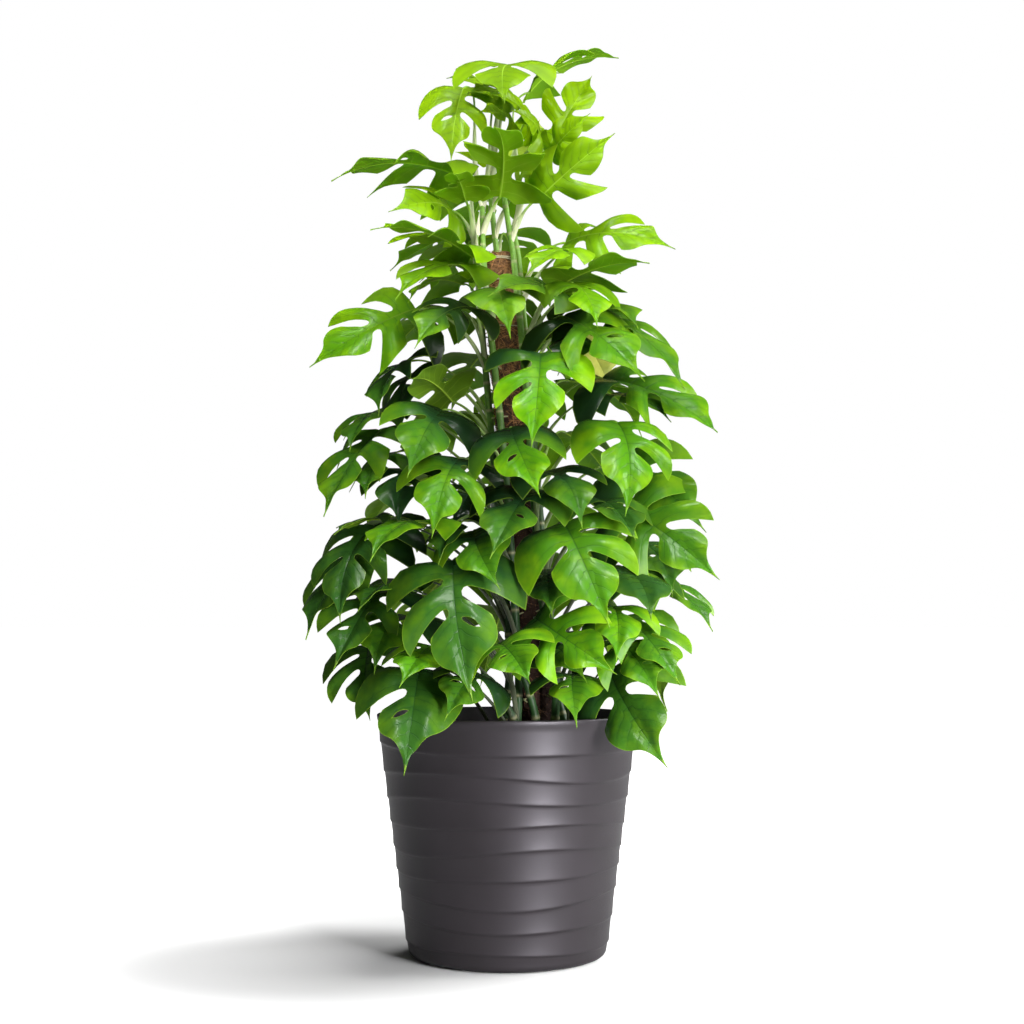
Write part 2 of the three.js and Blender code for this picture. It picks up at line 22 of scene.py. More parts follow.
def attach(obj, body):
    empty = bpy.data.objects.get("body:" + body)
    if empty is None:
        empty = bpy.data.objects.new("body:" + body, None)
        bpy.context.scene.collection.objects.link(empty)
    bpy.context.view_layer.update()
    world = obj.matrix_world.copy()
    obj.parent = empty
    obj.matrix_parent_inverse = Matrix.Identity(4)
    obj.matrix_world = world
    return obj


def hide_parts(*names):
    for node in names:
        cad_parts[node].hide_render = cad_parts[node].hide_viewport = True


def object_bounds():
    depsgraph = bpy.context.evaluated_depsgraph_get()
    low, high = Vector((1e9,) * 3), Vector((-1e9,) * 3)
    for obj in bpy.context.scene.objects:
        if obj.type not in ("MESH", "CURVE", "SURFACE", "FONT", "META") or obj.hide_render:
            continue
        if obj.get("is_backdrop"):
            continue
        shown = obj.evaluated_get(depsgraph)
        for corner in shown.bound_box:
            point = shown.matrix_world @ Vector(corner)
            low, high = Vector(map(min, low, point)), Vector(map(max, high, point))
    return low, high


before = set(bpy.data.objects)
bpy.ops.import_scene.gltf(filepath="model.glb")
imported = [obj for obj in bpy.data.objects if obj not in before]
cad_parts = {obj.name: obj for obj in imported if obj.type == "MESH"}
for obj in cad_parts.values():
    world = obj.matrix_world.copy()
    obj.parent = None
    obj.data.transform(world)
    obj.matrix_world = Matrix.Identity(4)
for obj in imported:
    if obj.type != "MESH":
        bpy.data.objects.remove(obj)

LOG = logging.getLogger("mini_monstera")
MM = 0.001  # metres in a millimetre
BODY = "root"
UP = np.array([0.0, 0.0, 1.0])
FRONT = np.array([0.0, -1.0, 0.0])
TURN = 2 * math.pi
MAP_WIDTH = 100  # mm, width of a map that is laid on from above
SHARP = math.radians(48)  # an edge that turns by more than this stays sharp
CLOSE = 0.02  # mm between a settled leaf's tip and its solid
NEAR = 1e-9  # rounding error between two places on a midrib

Array = np.ndarray
Number = float | np.ndarray


# ------------------------------------------------------------------ small maths


def unit(vector: Array) -> Array:
    """Vector of length one with the same direction."""
    return vector / np.linalg.norm(vector)


def point(*values: float) -> Array:
    """Point or direction as an array of numbers."""
    return np.array(values, dtype=float)


def polar(radius: float, angle: float) -> Array:
    """Point at a distance from the vertical axis and an angle round it."""
    return point(radius * math.cos(angle), radius * math.sin(angle), 0)


def mix(low: float, high: float, share: Number) -> Number:
    """Value that lies a share of the way from low to high."""
    return low + (high - low) * share


def smooth(low: float, high: float, value: Number) -> Number:
    """Soft step from 0 at low to 1 at high."""
    share = np.clip((value - low) / (high - low), 0, 1)
    return share * share * (3 - 2 * share)


def pulse(value: Array, middle: float, width: float) -> Array:
    """Soft bump of height 1 round a middle value."""
    return np.exp(-(((value - middle) / width) ** 2))


def arc(start: Array, corner: Array, end: Array, count: int) -> Array:
    """Points of a plain curve from start to end that is drawn towards a corner on its way."""
    t = np.linspace(0, 1, count)[:, None]
    return start * (1 - t) ** 2 + 2 * corner * t * (1 - t) + end * t**2


def turned(vector: Array, axis: Array, degrees: float) -> Array:
    """Vector turned about a unit axis.

    Args:
        vector: what is turned.
        axis: what it turns about, of length one.
        degrees: how far.

    Returns:
        The turned vector.
    """
    angle = math.radians(degrees)
    along = axis * float(axis @ vector)
    across = np.cross(axis, vector)
    return vector * math.cos(angle) + across * math.sin(angle) + along * (1 - math.cos(angle))


def ripple(places: Array, size: float, seed: int) -> Array:
    """Smooth unevenness between about -1 and 1 in space.

    Args:
        places: points as rows of three millimetre values.
        size: rough width of a bump in millimetres.
        seed: number that picks one pattern.

    Returns:
        One value for each point.
    """
    random = np.random.default_rng(seed)
    total = np.zeros(len(places))
    for octave in range(6):
        direction = random.normal(size=3)
        direction *= (1 + 0.35 * octave) * math.pi / size / np.linalg.norm(direction)
        total += np.sin(places @ direction + random.uniform(0, TURN)) / (1 + 0.3 * octave)
    return total / 2.6


class SeededDraw:
    """Numbers from 0 to 1 that always come out the same for one seed."""

    def __init__(self, seed: int) -> None:
        """Start the row of numbers of one seed."""
        self.state = (seed * 7919 + 12345) & 0xFFFFFFFF

    def __call__(self) -> float:
        """Next number of the row."""
        self.state = (self.state * 1664525 + 1013904223) & 0xFFFFFFFF
        return self.state / 4294967296


# ------------------------------------------------------------------ meshes


class Patch(NamedTuple):
    """Vertices in millimetres, triangles, and a map place for each vertex."""

    vertices: Array
    triangles: Array
    map_places: Array


def grid_triangles(rows: int, columns: int, closed: bool = False, flip: bool = False) -> Array:
    """Triangles of a grid of vertices that are numbered row by row.

    Args:
        rows: number of rows.
        columns: number of vertices in a row.
        closed: whether the last vertex of a row joins on to the first.
        flip: whether the triangles face the other way.

    Returns:
        Rows of three vertex numbers.
    """
    across = np.arange(columns if closed else columns - 1)
    starts = np.arange(rows - 1)[:, None] * columns
    first, following = (starts + across).ravel(), (starts + (across + 1) % columns).ravel()
    lower = np.stack([first, following, following + columns], axis=1)
    upper = np.stack([first, following + columns, first + columns], axis=1)
    triangles = np.concatenate([lower, upper])
    return triangles[:, ::-1] if flip else triangles


def capped(rings: Array, foot: Array, head: Array) -> tuple[Array, Array]:
    """Closed skin over rings of vertices.

    Args:
        rings: vertices of each ring, from the foot to the head.
        foot: point in the middle of the first ring, where a fan closes it.
        head: point in the middle of the last ring.

    Returns:
        Vertices and triangles.
    """
    rows, sides = rings.shape[:2]
    around = np.arange(sides)
    onward = (around + 1) % sides
    middle, last = np.full(sides, rows * sides), (rows - 1) * sides
    triangles = np.vstack([
        grid_triangles(rows, sides, closed=True),
        np.stack([middle, onward, around], axis=1),
        np.stack([middle + 1, last + around, last + onward], axis=1),
    ])
    return np.vstack([rings.reshape(-1, 3), foot, head]), triangles


def round_solid(angles: Array, rings: Iterable[tuple[Array, Array]], foot: float, head: float) -> Patch:
    """Closed solid of uneven rings round the vertical axis.

    Args:
        angles: angle of each vertex of a ring.
        rings: radius and height at each angle, for every ring.
        foot: height of the middle of the first ring.
        head: height of the middle of the last ring.

    Returns:
        The solid, with its map laid on it from above.
    """
    rings = [np.stack([r * np.cos(angles), r * np.sin(angles), z], axis=1) for r, z in rings]
    vertices, triangles = capped(np.array(rings), UP * foot, UP * head)
    return Patch(vertices, triangles, vertices[:, :2] / MAP_WIDTH)


def tube(points: Array, radii: Array, sides: int, flank: Array, flatness: float = 1.0) -> Patch:
    """Closed tube along a line of points.

    Args:
        points: the line, as rows.
        radii: radius at each point.
        sides: number of vertices round it.
        flank: direction that its wide side looks to at the end; it is carried back from there.
        flatness: thickness as a share of the width.

    Returns:
        The tube with a fan at each end. Its map runs once round and from 0 to 1 along it.
    """
    ahead = np.gradient(points, axis=0)
    ahead /= np.linalg.norm(ahead, axis=1)[:, None]
    across = np.empty_like(ahead)
    for row in range(len(points) - 1, -1, -1):
        flank = flank - ahead[row] * (ahead[row] @ flank)
        flank = flank / math.sqrt(flank @ flank)
        across[row] = flank
    back = np.cross(ahead, across)
    angles = np.arange(sides) * TURN / sides
    spokes = across[:, None, :] * np.cos(angles)[None, :, None]
    spokes = spokes + back[:, None, :] * (np.sin(angles) * flatness)[None, :, None]
    rings = points[:, None, :] + spokes * np.asarray(radii)[:, None, None]
    vertices, triangles = capped(rings, points[0], points[-1])
    round_share = np.tile(np.arange(sides) / sides, len(points))
    length_share = np.repeat(np.linspace(0, 1, len(points)), sides)
    places = np.vstack([np.stack([round_share, length_share], axis=1), [0.5, 0], [0.5, 1]])
    return Patch(vertices, triangles, places)


def new_object(name: str, data: bpy.types.ID) -> bpy.types.Object:
    """Object of a mesh, light or camera, in the scene.

    Args:
        name: its name.
        data: what it shows.

    Returns:
        The object.
    """
    made = bpy.data.objects.new(name, data)
    bpy.context.scene.collection.objects.link(made)
    return made


@dataclass
class MeshPiece:
    """A mesh under construction, made of patches that keep their own values."""

    name: str
    patches: list[tuple[Array, ...]] = field(default_factory=list)
    count: int = 0

    def add(self, vertices: Array, triangles: Array, corner_places: Array, tint: Array) -> None:
        """Add a patch.

        Args:
            vertices: points in millimetres.
            triangles: vertex numbers within the patch.
            corner_places: map place of each corner of each triangle, in order.
            tint: four values, for the patch or for each vertex.
        """
        tints = np.broadcast_to(tint, (len(vertices), 4))
        self.patches.append((vertices, triangles + self.count, corner_places.reshape(-1, 2), tints))
        self.count += len(vertices)

    def add_patch(self, patch: Patch, tint: Array | tuple = (0, 0, 0, 1)) -> None:
        """Add a patch whose map places belong to its vertices."""
        self.add(patch.vertices, patch.triangles, patch.map_places[patch.triangles], tint)

    def build(self, material: bpy.types.Material, slot: str, nodes: tuple[str, ...] = ()) -> None:
        """Make the Blender object, which rides on the part.

        Args:
            material: its finish.
            slot: the record's material slot; not used.
            nodes: solids that it stands for.
        """
        vertices, triangles, places, tints = (np.vstack(part) for part in zip(*self.patches))
        vertices = np.clip(vertices * MM, *CAD_BOX)
        mesh = bpy.data.meshes.new(self.name)
        mesh.from_pydata(vertices.tolist(), [], triangles.tolist())
        layer = mesh.uv_layers.new(name="surface")
        layer.data.foreach_set("uv", places.astype(np.float32).ravel())
        tint = mesh.color_attributes.new(name="tint", type="FLOAT_COLOR", domain="POINT")
        tint.data.foreach_set("color", tints.astype(np.float32).ravel())
        mesh.polygons.foreach_set("use_smooth", np.ones(len(triangles), dtype=bool))
        mesh.set_sharp_from_angle(angle=SHARP)
        mesh.materials.append(material)
        piece = new_object(self.name, mesh)
        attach(piece, BODY)
        if nodes:
            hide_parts(*nodes)
        LOG.info("%s: %d triangles", self.name, len(triangles))


# ------------------------------------------------------------------ finishes


RGBA = {"data_type": "RGBA"}  # for a Mix node that mixes two colours
SOFT = {"interpolation_type": "SMOOTHSTEP"}
AddNode = Callable[..., bpy.types.Node]


def linear(code: str) -> tuple[float, float, float, float]:
    """Turn an sRGB hex colour into linear light.

    Args:
        code: colour such as "#4a474c".

    Returns:
        Red, green, blue and an alpha of one.
    """
    shares = [int(code[start : start + 2], 16) / 255 for start in (1, 3, 5)]
    red, green, blue = (s / 12.92 if s <= 0.04045 else ((s + 0.055) / 1.055) ** 2.4 for s in shares)
    return red, green, blue, 1.0


def add_node(
    tree: bpy.types.NodeTree, kind: str, inputs: dict | tuple = (), **settings: object
) -> bpy.types.Node:
    """Add a node with its settings, values and links.

    Args:
        tree: the material's nodes.
        kind: Blender's name for the kind of node, without "ShaderNode" in front.
        inputs: what goes into each input, by its name, or in a row for the inputs in use: a value,
            an output of another node, or that node itself for its first output in use.
        settings: properties of the node.

    Returns:
        The new node.
    """
    node = tree.nodes.new(f"ShaderNode{kind}")
    for name, value in settings.items():
        setattr(node, name, value)
    in_use = [socket for socket in node.inputs if socket.enabled]
    for place, value in inputs.items() if isinstance(inputs, dict) else enumerate(inputs):
        socket = node.inputs[place] if isinstance(place, str) else in_use[place]
        if isinstance(value, bpy.types.Node):
            value = next(output for output in value.outputs if output.enabled)
        if isinstance(value, bpy.types.NodeSocket):
            tree.links.new(value, socket)
        else:
            socket.default_value = value
    return node


def new_material(name: str) -> tuple[bpy.types.Material, AddNode]:
    """Empty node material, and add_node for its nodes.

    Args:
        name: its name.

    Returns:
        The material and the function.
    """
    material = bpy.data.materials.new(name)
    material.use_nodes = True
    material.node_tree.nodes.clear()
    return material, partial(add_node, material.node_tree)


@dataclass(frozen=True)
class LivingLeaf:
    """Leaf blade with a waxy cuticle: satin gloss on top, matt and paler below."""

    fresh: str = "#549306"
    lime: str = "#86b808"
    dull: str = "#1d3d1f"
    deep: str = "#2d5216"
    # Near-black green of painted shade, deep in the plant.
    painted_shade: str = "#0b1a0b"
    young: str = "#a8c604"
    pale: str = "#d6d766"
    rib: str = "#a4c83a"
    below: str = "#78a414"
    glow: str = "#8fd008"
    gloss: float = 0.25
    cloud: float = 25.0  # mm, patches where the blade holds more or less green
    cell: float = 1.5  # mm; real cells are far finer, too fine to show

    def lines(self, add: AddNode) -> dict[str, bpy.types.Node]:
        """Masks that follow the blade's map: side veins, the puffed skin between, midrib, margin.

        Args:
            add: adds a node to the material.

        Returns:
            The node of each mask by name.
        """
        axes = add("SeparateXYZ", (add("UVMap", uv_map="surface"),))
        # A side vein runs half way between two whole numbers of the first map value.
        part = add("Math", (axes,), operation="FRACT")
        off = add("Math", (part, 0.5), operation="SUBTRACT")
        aside = add("Math", (off,), operation="ABSOLUTE")
        outward = add("Math", (axes.outputs[1],), operation="ABSOLUTE")
        ramps = {
            "line": (aside, 0.0, 0.065, 1.0, 0.0),
            "puff": (aside, 0.0, 0.5, 0.0, 1.0),
            "rib": (outward, 0.006, 0.032, 1.0, 0.0),
            "margin": (outward, 0.35, 1.02, 0.0, 0.6),
        }
        masks = {name: add("MapRange", ramp, **SOFT) for name, ramp in ramps.items()}
        fading = add("MapRange", (outward, 0.1, 0.95, 1.0, 0.1))
        masks["vein"] = add("Math", (masks["line"], fading), operation="MULTIPLY")
        return masks

    def blade_colour(self, add: AddNode, masks: dict[str, bpy.types.Node]) -> bpy.types.Node:
        """Green that depends on age and painted shade, brighter to the margin, with painted shade in the
        veins, midrib and valleys above, pale ribs below.

        Args:
            add: adds a node to the material.
            masks: the blade's masks.

        Returns:
            The node that gives the colour.
        """
        tint = add("Attribute", attribute_name="tint")
        age_and_shade, paleness, rim = add("SeparateColor", (tint,)).outputs
        # The tint's first value holds the age and the painted shade deep in the plant.
        age = add("MapRange", (age_and_shade, 0.0, 0.7))
        here = add("TexCoord").outputs["Object"]
        clouds = add("TexNoise", (here, 1 / (self.cloud * MM), 3.0))
        cloudiness = add("MapRange", (clouds, 0.35, 0.7, -0.4, 0.5))
        edging = add("Math", (masks["margin"], cloudiness), operation="ADD", use_clamp=True)
        body, edge = (
            add("Mix", (age, linear(young), linear(old)), **RGBA)
            for young, old in ((self.fresh, self.dull), (self.lime, self.deep))
        )
        green = add("Mix", (edging, body, edge), **RGBA)
        # Painted shade: blades deep in the plant turn near black.
        painted_shade = add("MapRange", (age_and_shade, 0.66, 0.96, 0.0, 0.9))
        green = add("Mix", (painted_shade, green, linear(self.painted_shade)), **RGBA)
        # The last growth, at the top, is yellower; the same yellow also paints the glow of light through
        # the backlit crown.
        axes = add("SeparateXYZ", (here,))
        height = add("MapRange", (axes.outputs[2], 0.78, 1.1))
        unaged = add("MapRange", (age, 0.0, 1.0, 0.55, 0.1))
        newness_and_glow = add("Math", (height, unaged), operation="MULTIPLY")
        green = add("Mix", (newness_and_glow, green, linear(self.young)), **RGBA)
        # Painted shade along the sunk side veins, in the valleys between them and in the midrib's
        # groove.
        furrow_shade = add("Math", (masks["vein"], 0.6), operation="MULTIPLY")
        valley_shade = add("MapRange", (masks["puff"], 0.0, 0.5, 0.12, 0.0))
        groove_shade = add("Math", (masks["rib"], 0.5), operation="MULTIPLY")
        shaded_grooves = add("Math", (furrow_shade, valley_shade), operation="MAXIMUM")
        shaded_grooves = add("Math", (shaded_grooves, groove_shade), operation="MAXIMUM")
        above = add("Mix", (shaded_grooves, green, linear(self.dull)), **RGBA)
        # A midrib high on the plant, where the growth is young, is paler than its blade; lower down it
        # keeps its painted groove shade.
        fleshy = add("Math", (height, masks["rib"]), operation="MULTIPLY")
        above = add("Mix", (fleshy, above, linear(self.rib)), **RGBA)
        ridge = add("Math", (masks["vein"], 0.4), operation="MULTIPLY")
        raised = add("Math", (ridge, masks["rib"]), operation="MAXIMUM")
        beneath = add("Mix", (0.5, green, linear(self.below)), **RGBA)
        beneath = add("Mix", (raised, beneath, linear(self.rib)), **RGBA)
        both = add("Mix", (tint.outputs["Alpha"], above, beneath), **RGBA)
        yellowed = add("Mix", (paleness, both, linear(self.pale)), **RGBA)
        # The margin is a hard, pale hem less than a millimetre wide.
        hem = add("MapRange", (rim, 0.8, 1.0, 0.0, 0.28))
        return add("Mix", (hem, yellowed, linear(self.rib)), **RGBA)

    def material(self) -> bpy.types.Material:
        """Blade: a glossy surface over a body that light comes through.

        Returns:
            The material.
        """
        material, add = new_material("living_leaf_waxy_blade")
        masks = self.lines(add)
        colour = self.blade_colour(add, masks)
        here = add("TexCoord").outputs["Object"]
        cells = add("TexNoise", (here, 1 / (self.cell * MM), 2.0))
        swollen = add("TexNoise", (here, 1 / (6 * self.cell * MM), 1.0))
        relief = add("Math", (swollen, 1.5), operation="MULTIPLY")
        for part, share in ((masks["vein"], -0.9), (masks["puff"], 0.6), (cells, 0.03)):
            relief = add("Math", (part, share, relief), operation="MULTIPLY_ADD")
        below = add("Attribute", attribute_name="tint").outputs["Alpha"]
        depth = add("MapRange", (below, 0.0, 1.0, 0.34, 0.1))
        bump = add("Bump", {"Strength": depth, "Distance": 0.001, "Height": relief})
        gloss = add("MapRange", (below, 0.0, 1.0, self.gloss, 0.6))
        looks = {"Base Color": colour, "Roughness": gloss, "IOR": 1.45, "Normal": bump}
        surface = add("BsdfPrincipled", {**looks, "Specular IOR Level": 0.2})
        through = add("Mix", (0.4, colour, linear(self.glow)), **RGBA)
        body = add("BsdfTranslucent", (through, bump))
        # Old blades low on the plant are thick and let little light through.
        axes = add("SeparateXYZ", (here,))
        thinness = add("MapRange", (axes.outputs[2], 0.45, 1.1, 0.06, 0.4))
        add("OutputMaterial", (add("MixShader", (thinness, surface, body)),))
        return material


@dataclass(frozen=True)
class LivingStalk:
    """Leaf stalk: smooth and juicy, yellow green, cream where its sheath is dry."""

    green: str = "#8cb832"
    # Dark green of old stalks, also painted shade on stalks low in the plant.
    shade: str = "#243c1a"
    cream: str = "#efe9cf"

    def material(self) -> bpy.types.Material:
        """Stalk that is darker with age and with painted shade low in the plant, or cream where the tint
        says so.

        Returns:
            The material.
        """
        material, add = new_material("living_stalk_smooth")
        tint = add("Attribute", attribute_name="tint")
        shade, cream, _ = add("SeparateColor", (tint,)).outputs
        places = add("UVMap", uv_map="surface")
        axes = add("SeparateXYZ", (places,))
        # Lengthwise strings, about a tenth of the way round each.
        strings = {"Vector": places, "Scale": 9.0, "Detail": 2.0, "Distortion": 0.2}
        strings = add("TexNoise", strings)
        # Age and painted shade darken the green, by the tint's first value.
        green = add("Mix", (shade, linear(self.green), linear(self.shade)), **RGBA)
        low = add("MapRange", (axes.outputs[1], 0.0, 0.75, 1.0, 0.0))
        dryness = add("Math", (low, cream), operation="MULTIPLY")
        uneven = add("MapRange", (strings, 0.3, 0.7, 0.75, 1.15))
        amount = add("Math", (dryness, uneven), operation="MULTIPLY", use_clamp=True)
        colour = add("Mix", (amount, green, linear(self.cream)), **RGBA)
        bump = add("Bump", {"Strength": 0.3, "Distance": 0.0004, "Height": strings})
        looks = {"Base Color": colour, "Roughness": 0.38, "IOR": 1.42, "Normal": bump}
        add("OutputMaterial", (add("BsdfPrincipled", looks),))
        return material


@dataclass(frozen=True)
class GreenCane:
    """Climbing cane: firm blue-green skin, with pale scars at its joints."""

    # Dark green of the old cane low down, made darker still to paint the shade deep in the plant.
    green: str = "#2a4b24"
    young: str = "#7fae45"
    scar: str = "#b7b187"
    wart: float = 3.0  # mm, also the width of a streak

    def material(self) -> bpy.types.Material:
        """Skin that turns younger or scarred where the tint says so, with warts and streaks.

        Returns:
            The material.
        """
        material, add = new_material("green_cane_with_scars")
        tint = add("Attribute", attribute_name="tint")
        young, scar, _ = add("SeparateColor", (tint,)).outputs
        skin = add("Mix", (young, linear(self.green), linear(self.young)), **RGBA)
        colour = add("Mix", (scar, skin, linear(self.scar)), **RGBA)
        here = add("TexCoord").outputs["Object"]
        warts = add("TexNoise", (here, 1 / (self.wart * MM), 3.0))
        patchy = add("MapRange", (warts, 0.3, 0.75, 0.82, 1.12))
        worn = add("VectorMath", (colour, patchy), operation="MULTIPLY")
        bump = add("Bump", {"Strength": 0.4, "Distance": 0.0006, "Height": warts})
        looks = {"Base Color": worn, "Roughness": 0.45, "IOR": 1.42, "Normal": bump}
        add("OutputMaterial", (add("BsdfPrincipled", looks),))
        return material


@dataclass(frozen=True)
class PlainFibre:
    """Dry, dull fibre or crumb: no gloss, with light and dark strands of one colour family."""

    name: str
    dark: str
    light: str
    grain: float  # mm, width of one light or dark patch
    depth: float = 0.8  # mm of relief

    def material(self) -> bpy.types.Material:
        """Patchy matt surface, with the tint's first value as a further lightening.

        Returns:
            The material.
        """
        material, add = new_material(self.name)
        here = add("TexCoord").outputs["Object"]
        patches = add("TexNoise", (here, 1 / (self.grain * MM), 4.0, 0.65))
        tint = add("Attribute", attribute_name="tint")
        split = add("SeparateColor", (tint,))
        lightness = add("MapRange", (patches, 0.35, 0.72, -0.1, 0.5))
        # The tint's first value lightens or darkens further; on the coir it carries painted shade.
        share = add("Math", (lightness, split), operation="ADD", use_clamp=True)
        colour = add("Mix", (share, linear(self.dark), linear(self.light)), **RGBA)
        relief = {"Strength": 0.7, "Distance": self.depth * MM, "Height": patches}
        bump = add("Bump", relief)
        looks = {"Base Color": colour, "Roughness": 0.9, "IOR": 1.5, "Normal": bump}
        add("OutputMaterial", (add("BsdfPrincipled", looks),))
        return material


@dataclass(frozen=True)
class MouldedPolypropylene:
    """Polypropylene dyed through and moulded in an etched mould: satin, with a dusty grain."""

    dark: str = "#1a1718"
    light: str = "#252124"
    sheen: str = "#f6f1fc"
    cloud: float = 60.0  # mm
    grain: float = 1.1  # mm; the etched grain is 0.3 mm wide, which is too fine to show

    def material(self) -> bpy.types.Material:
        """Anthracite plastic with a faint cloud in its colour and a fine eroded grain.

        Returns:
            The material.
        """
        material, add = new_material("moulded_polypropylene_satin")
        here = add("TexCoord").outputs["Object"]
        clouds, grain = (
            add("TexNoise", (here, 1 / (width * MM), 2.0)) for width in (self.cloud, self.grain)
        )
        colour = add("Mix", (clouds, linear(self.dark), linear(self.light)), **RGBA)
        satin = add("MapRange", (grain, 0.3, 0.7, 0.38, 0.48))
        bump = add("Bump", {"Strength": 0.25, "Distance": 0.0003, "Height": grain})
        looks = {"Base Color": colour, "Roughness": satin, "IOR": 1.49, "Normal": bump}
        surface = add("BsdfPrincipled", {**looks, "Specular Tint": linear(self.sheen)})
        add("OutputMaterial", (surface,))
        return material


# ------------------------------------------------------------------ planter and soil


@dataclass
class Planter:
    """Tapered bucket with soft steps that wander up and down round its side."""

    height: float = 318
    rim_radius: float = 175
    taper: float = 0.137  # radius lost for each millimetre downwards
    wall: float = 4.5
    floor: float = 6
    foot_radius: float = 120
    foot_round: float = 9  # height of the rounding above the foot
    ridges: int = 9
    lowest_ridge: float = 23
    ridge_pitch: float = 31.7
    wander: float = 4.8  # how far a ridge strays up and down
    swell: float = 0.8  # how far a ridge stands out of the cone
    tuck: float = 0.6  # how far the side lies behind the cone below a ridge
    step: float = 3.5  # height of the side's way out to a ridge
    sides: int = 200
    step_shares: tuple[float, ...] = (0.0, 0.25, 0.5, 0.75, 1.0)
    slope_shares: tuple[float, ...] = (0.06, 0.16, 0.3, 0.48, 0.7, 0.88)
    inner_levels: tuple[float, ...] = (306, 290, 260, 200, 120, 40, 12)

    def cone(self, z: Number) -> Number:
        """Radius of the plain cone at a height."""
        return self.rim_radius - self.taper * (self.height - z)

    def ridge_height(self, index: int, angles: Array) -> Array:
        """Height of a ridge line at each angle.

        Args:
            index: number of the ridge, from below.
            angles: the angles of a ring.

        Returns:
            The heights.
        """
        fade = 0.4 if index == 0 else 1
        wave = np.sin(2 * angles + 0.9 * index) + 0.5 * np.sin(3 * angles - 1.7 * index)
        return self.lowest_ridge + self.ridge_pitch * index + fade * self.wander * wave

    def profile(self, angles: Array) -> Iterator[tuple[Array, Array]]:
        """Rings of the outline from the foot, up the outside, over the rim and down inside.

        Args:
            angles: the angles of a ring's vertices.

        Yields:
            Radius and height at each angle.
        """
        level = np.zeros_like(angles)
        yield level + self.foot_radius, level
        for angle in np.linspace(0, 1, 6) * math.pi / 2:
            lift = self.foot_round * (1 - math.cos(angle))
            reach = mix(self.foot_radius, float(self.cone(self.foot_round)) - 1.1, math.sin(angle))
            yield level + reach, level + lift + 0.4
        for index in range(self.ridges):
            crest = self.ridge_height(index, angles)
            above = (
                self.ridge_height(index + 1, angles) - self.step
                if index + 1 < self.ridges
                else level + self.height - 12
            )
            for share in self.step_shares:
                z = crest - self.step * (1 - share)
                yield self.cone(z) + mix(-self.tuck, self.swell, float(smooth(0, 1, share))), z
            for share in self.slope_shares:
                z = mix(crest, above, share)
                yield self.cone(z) + mix(-self.tuck, self.swell, (1 - share) ** 2.2), z
        for drop, bulge in ((10, -0.6), (7, 0.2)):
            yield level + self.cone(self.height - drop) + bulge, level + self.height - drop
        half = self.wall / 2
        for angle in np.linspace(0, 1, 7) * math.pi:
            reach = self.rim_radius - half + half * math.cos(angle)
            yield level + reach, level + self.height - half + half * math.sin(angle)
        for z in self.inner_levels:
            yield level + self.cone(z) - self.wall, level + z
        yield level + self.cone(self.floor) - self.wall - 6, level + self.floor

    def build(self, finish: MouldedPolypropylene) -> None:
        """Build the planter in one piece.

        Args:
            finish: its plastic.
        """
        angles = np.arange(self.sides) * TURN / self.sides
        piece = MeshPiece("planter")
        piece.add_patch(round_solid(angles, self.profile(angles), 0, self.floor), np.ones(4))
        piece.build(finish.material(), "planter", ("pot",))


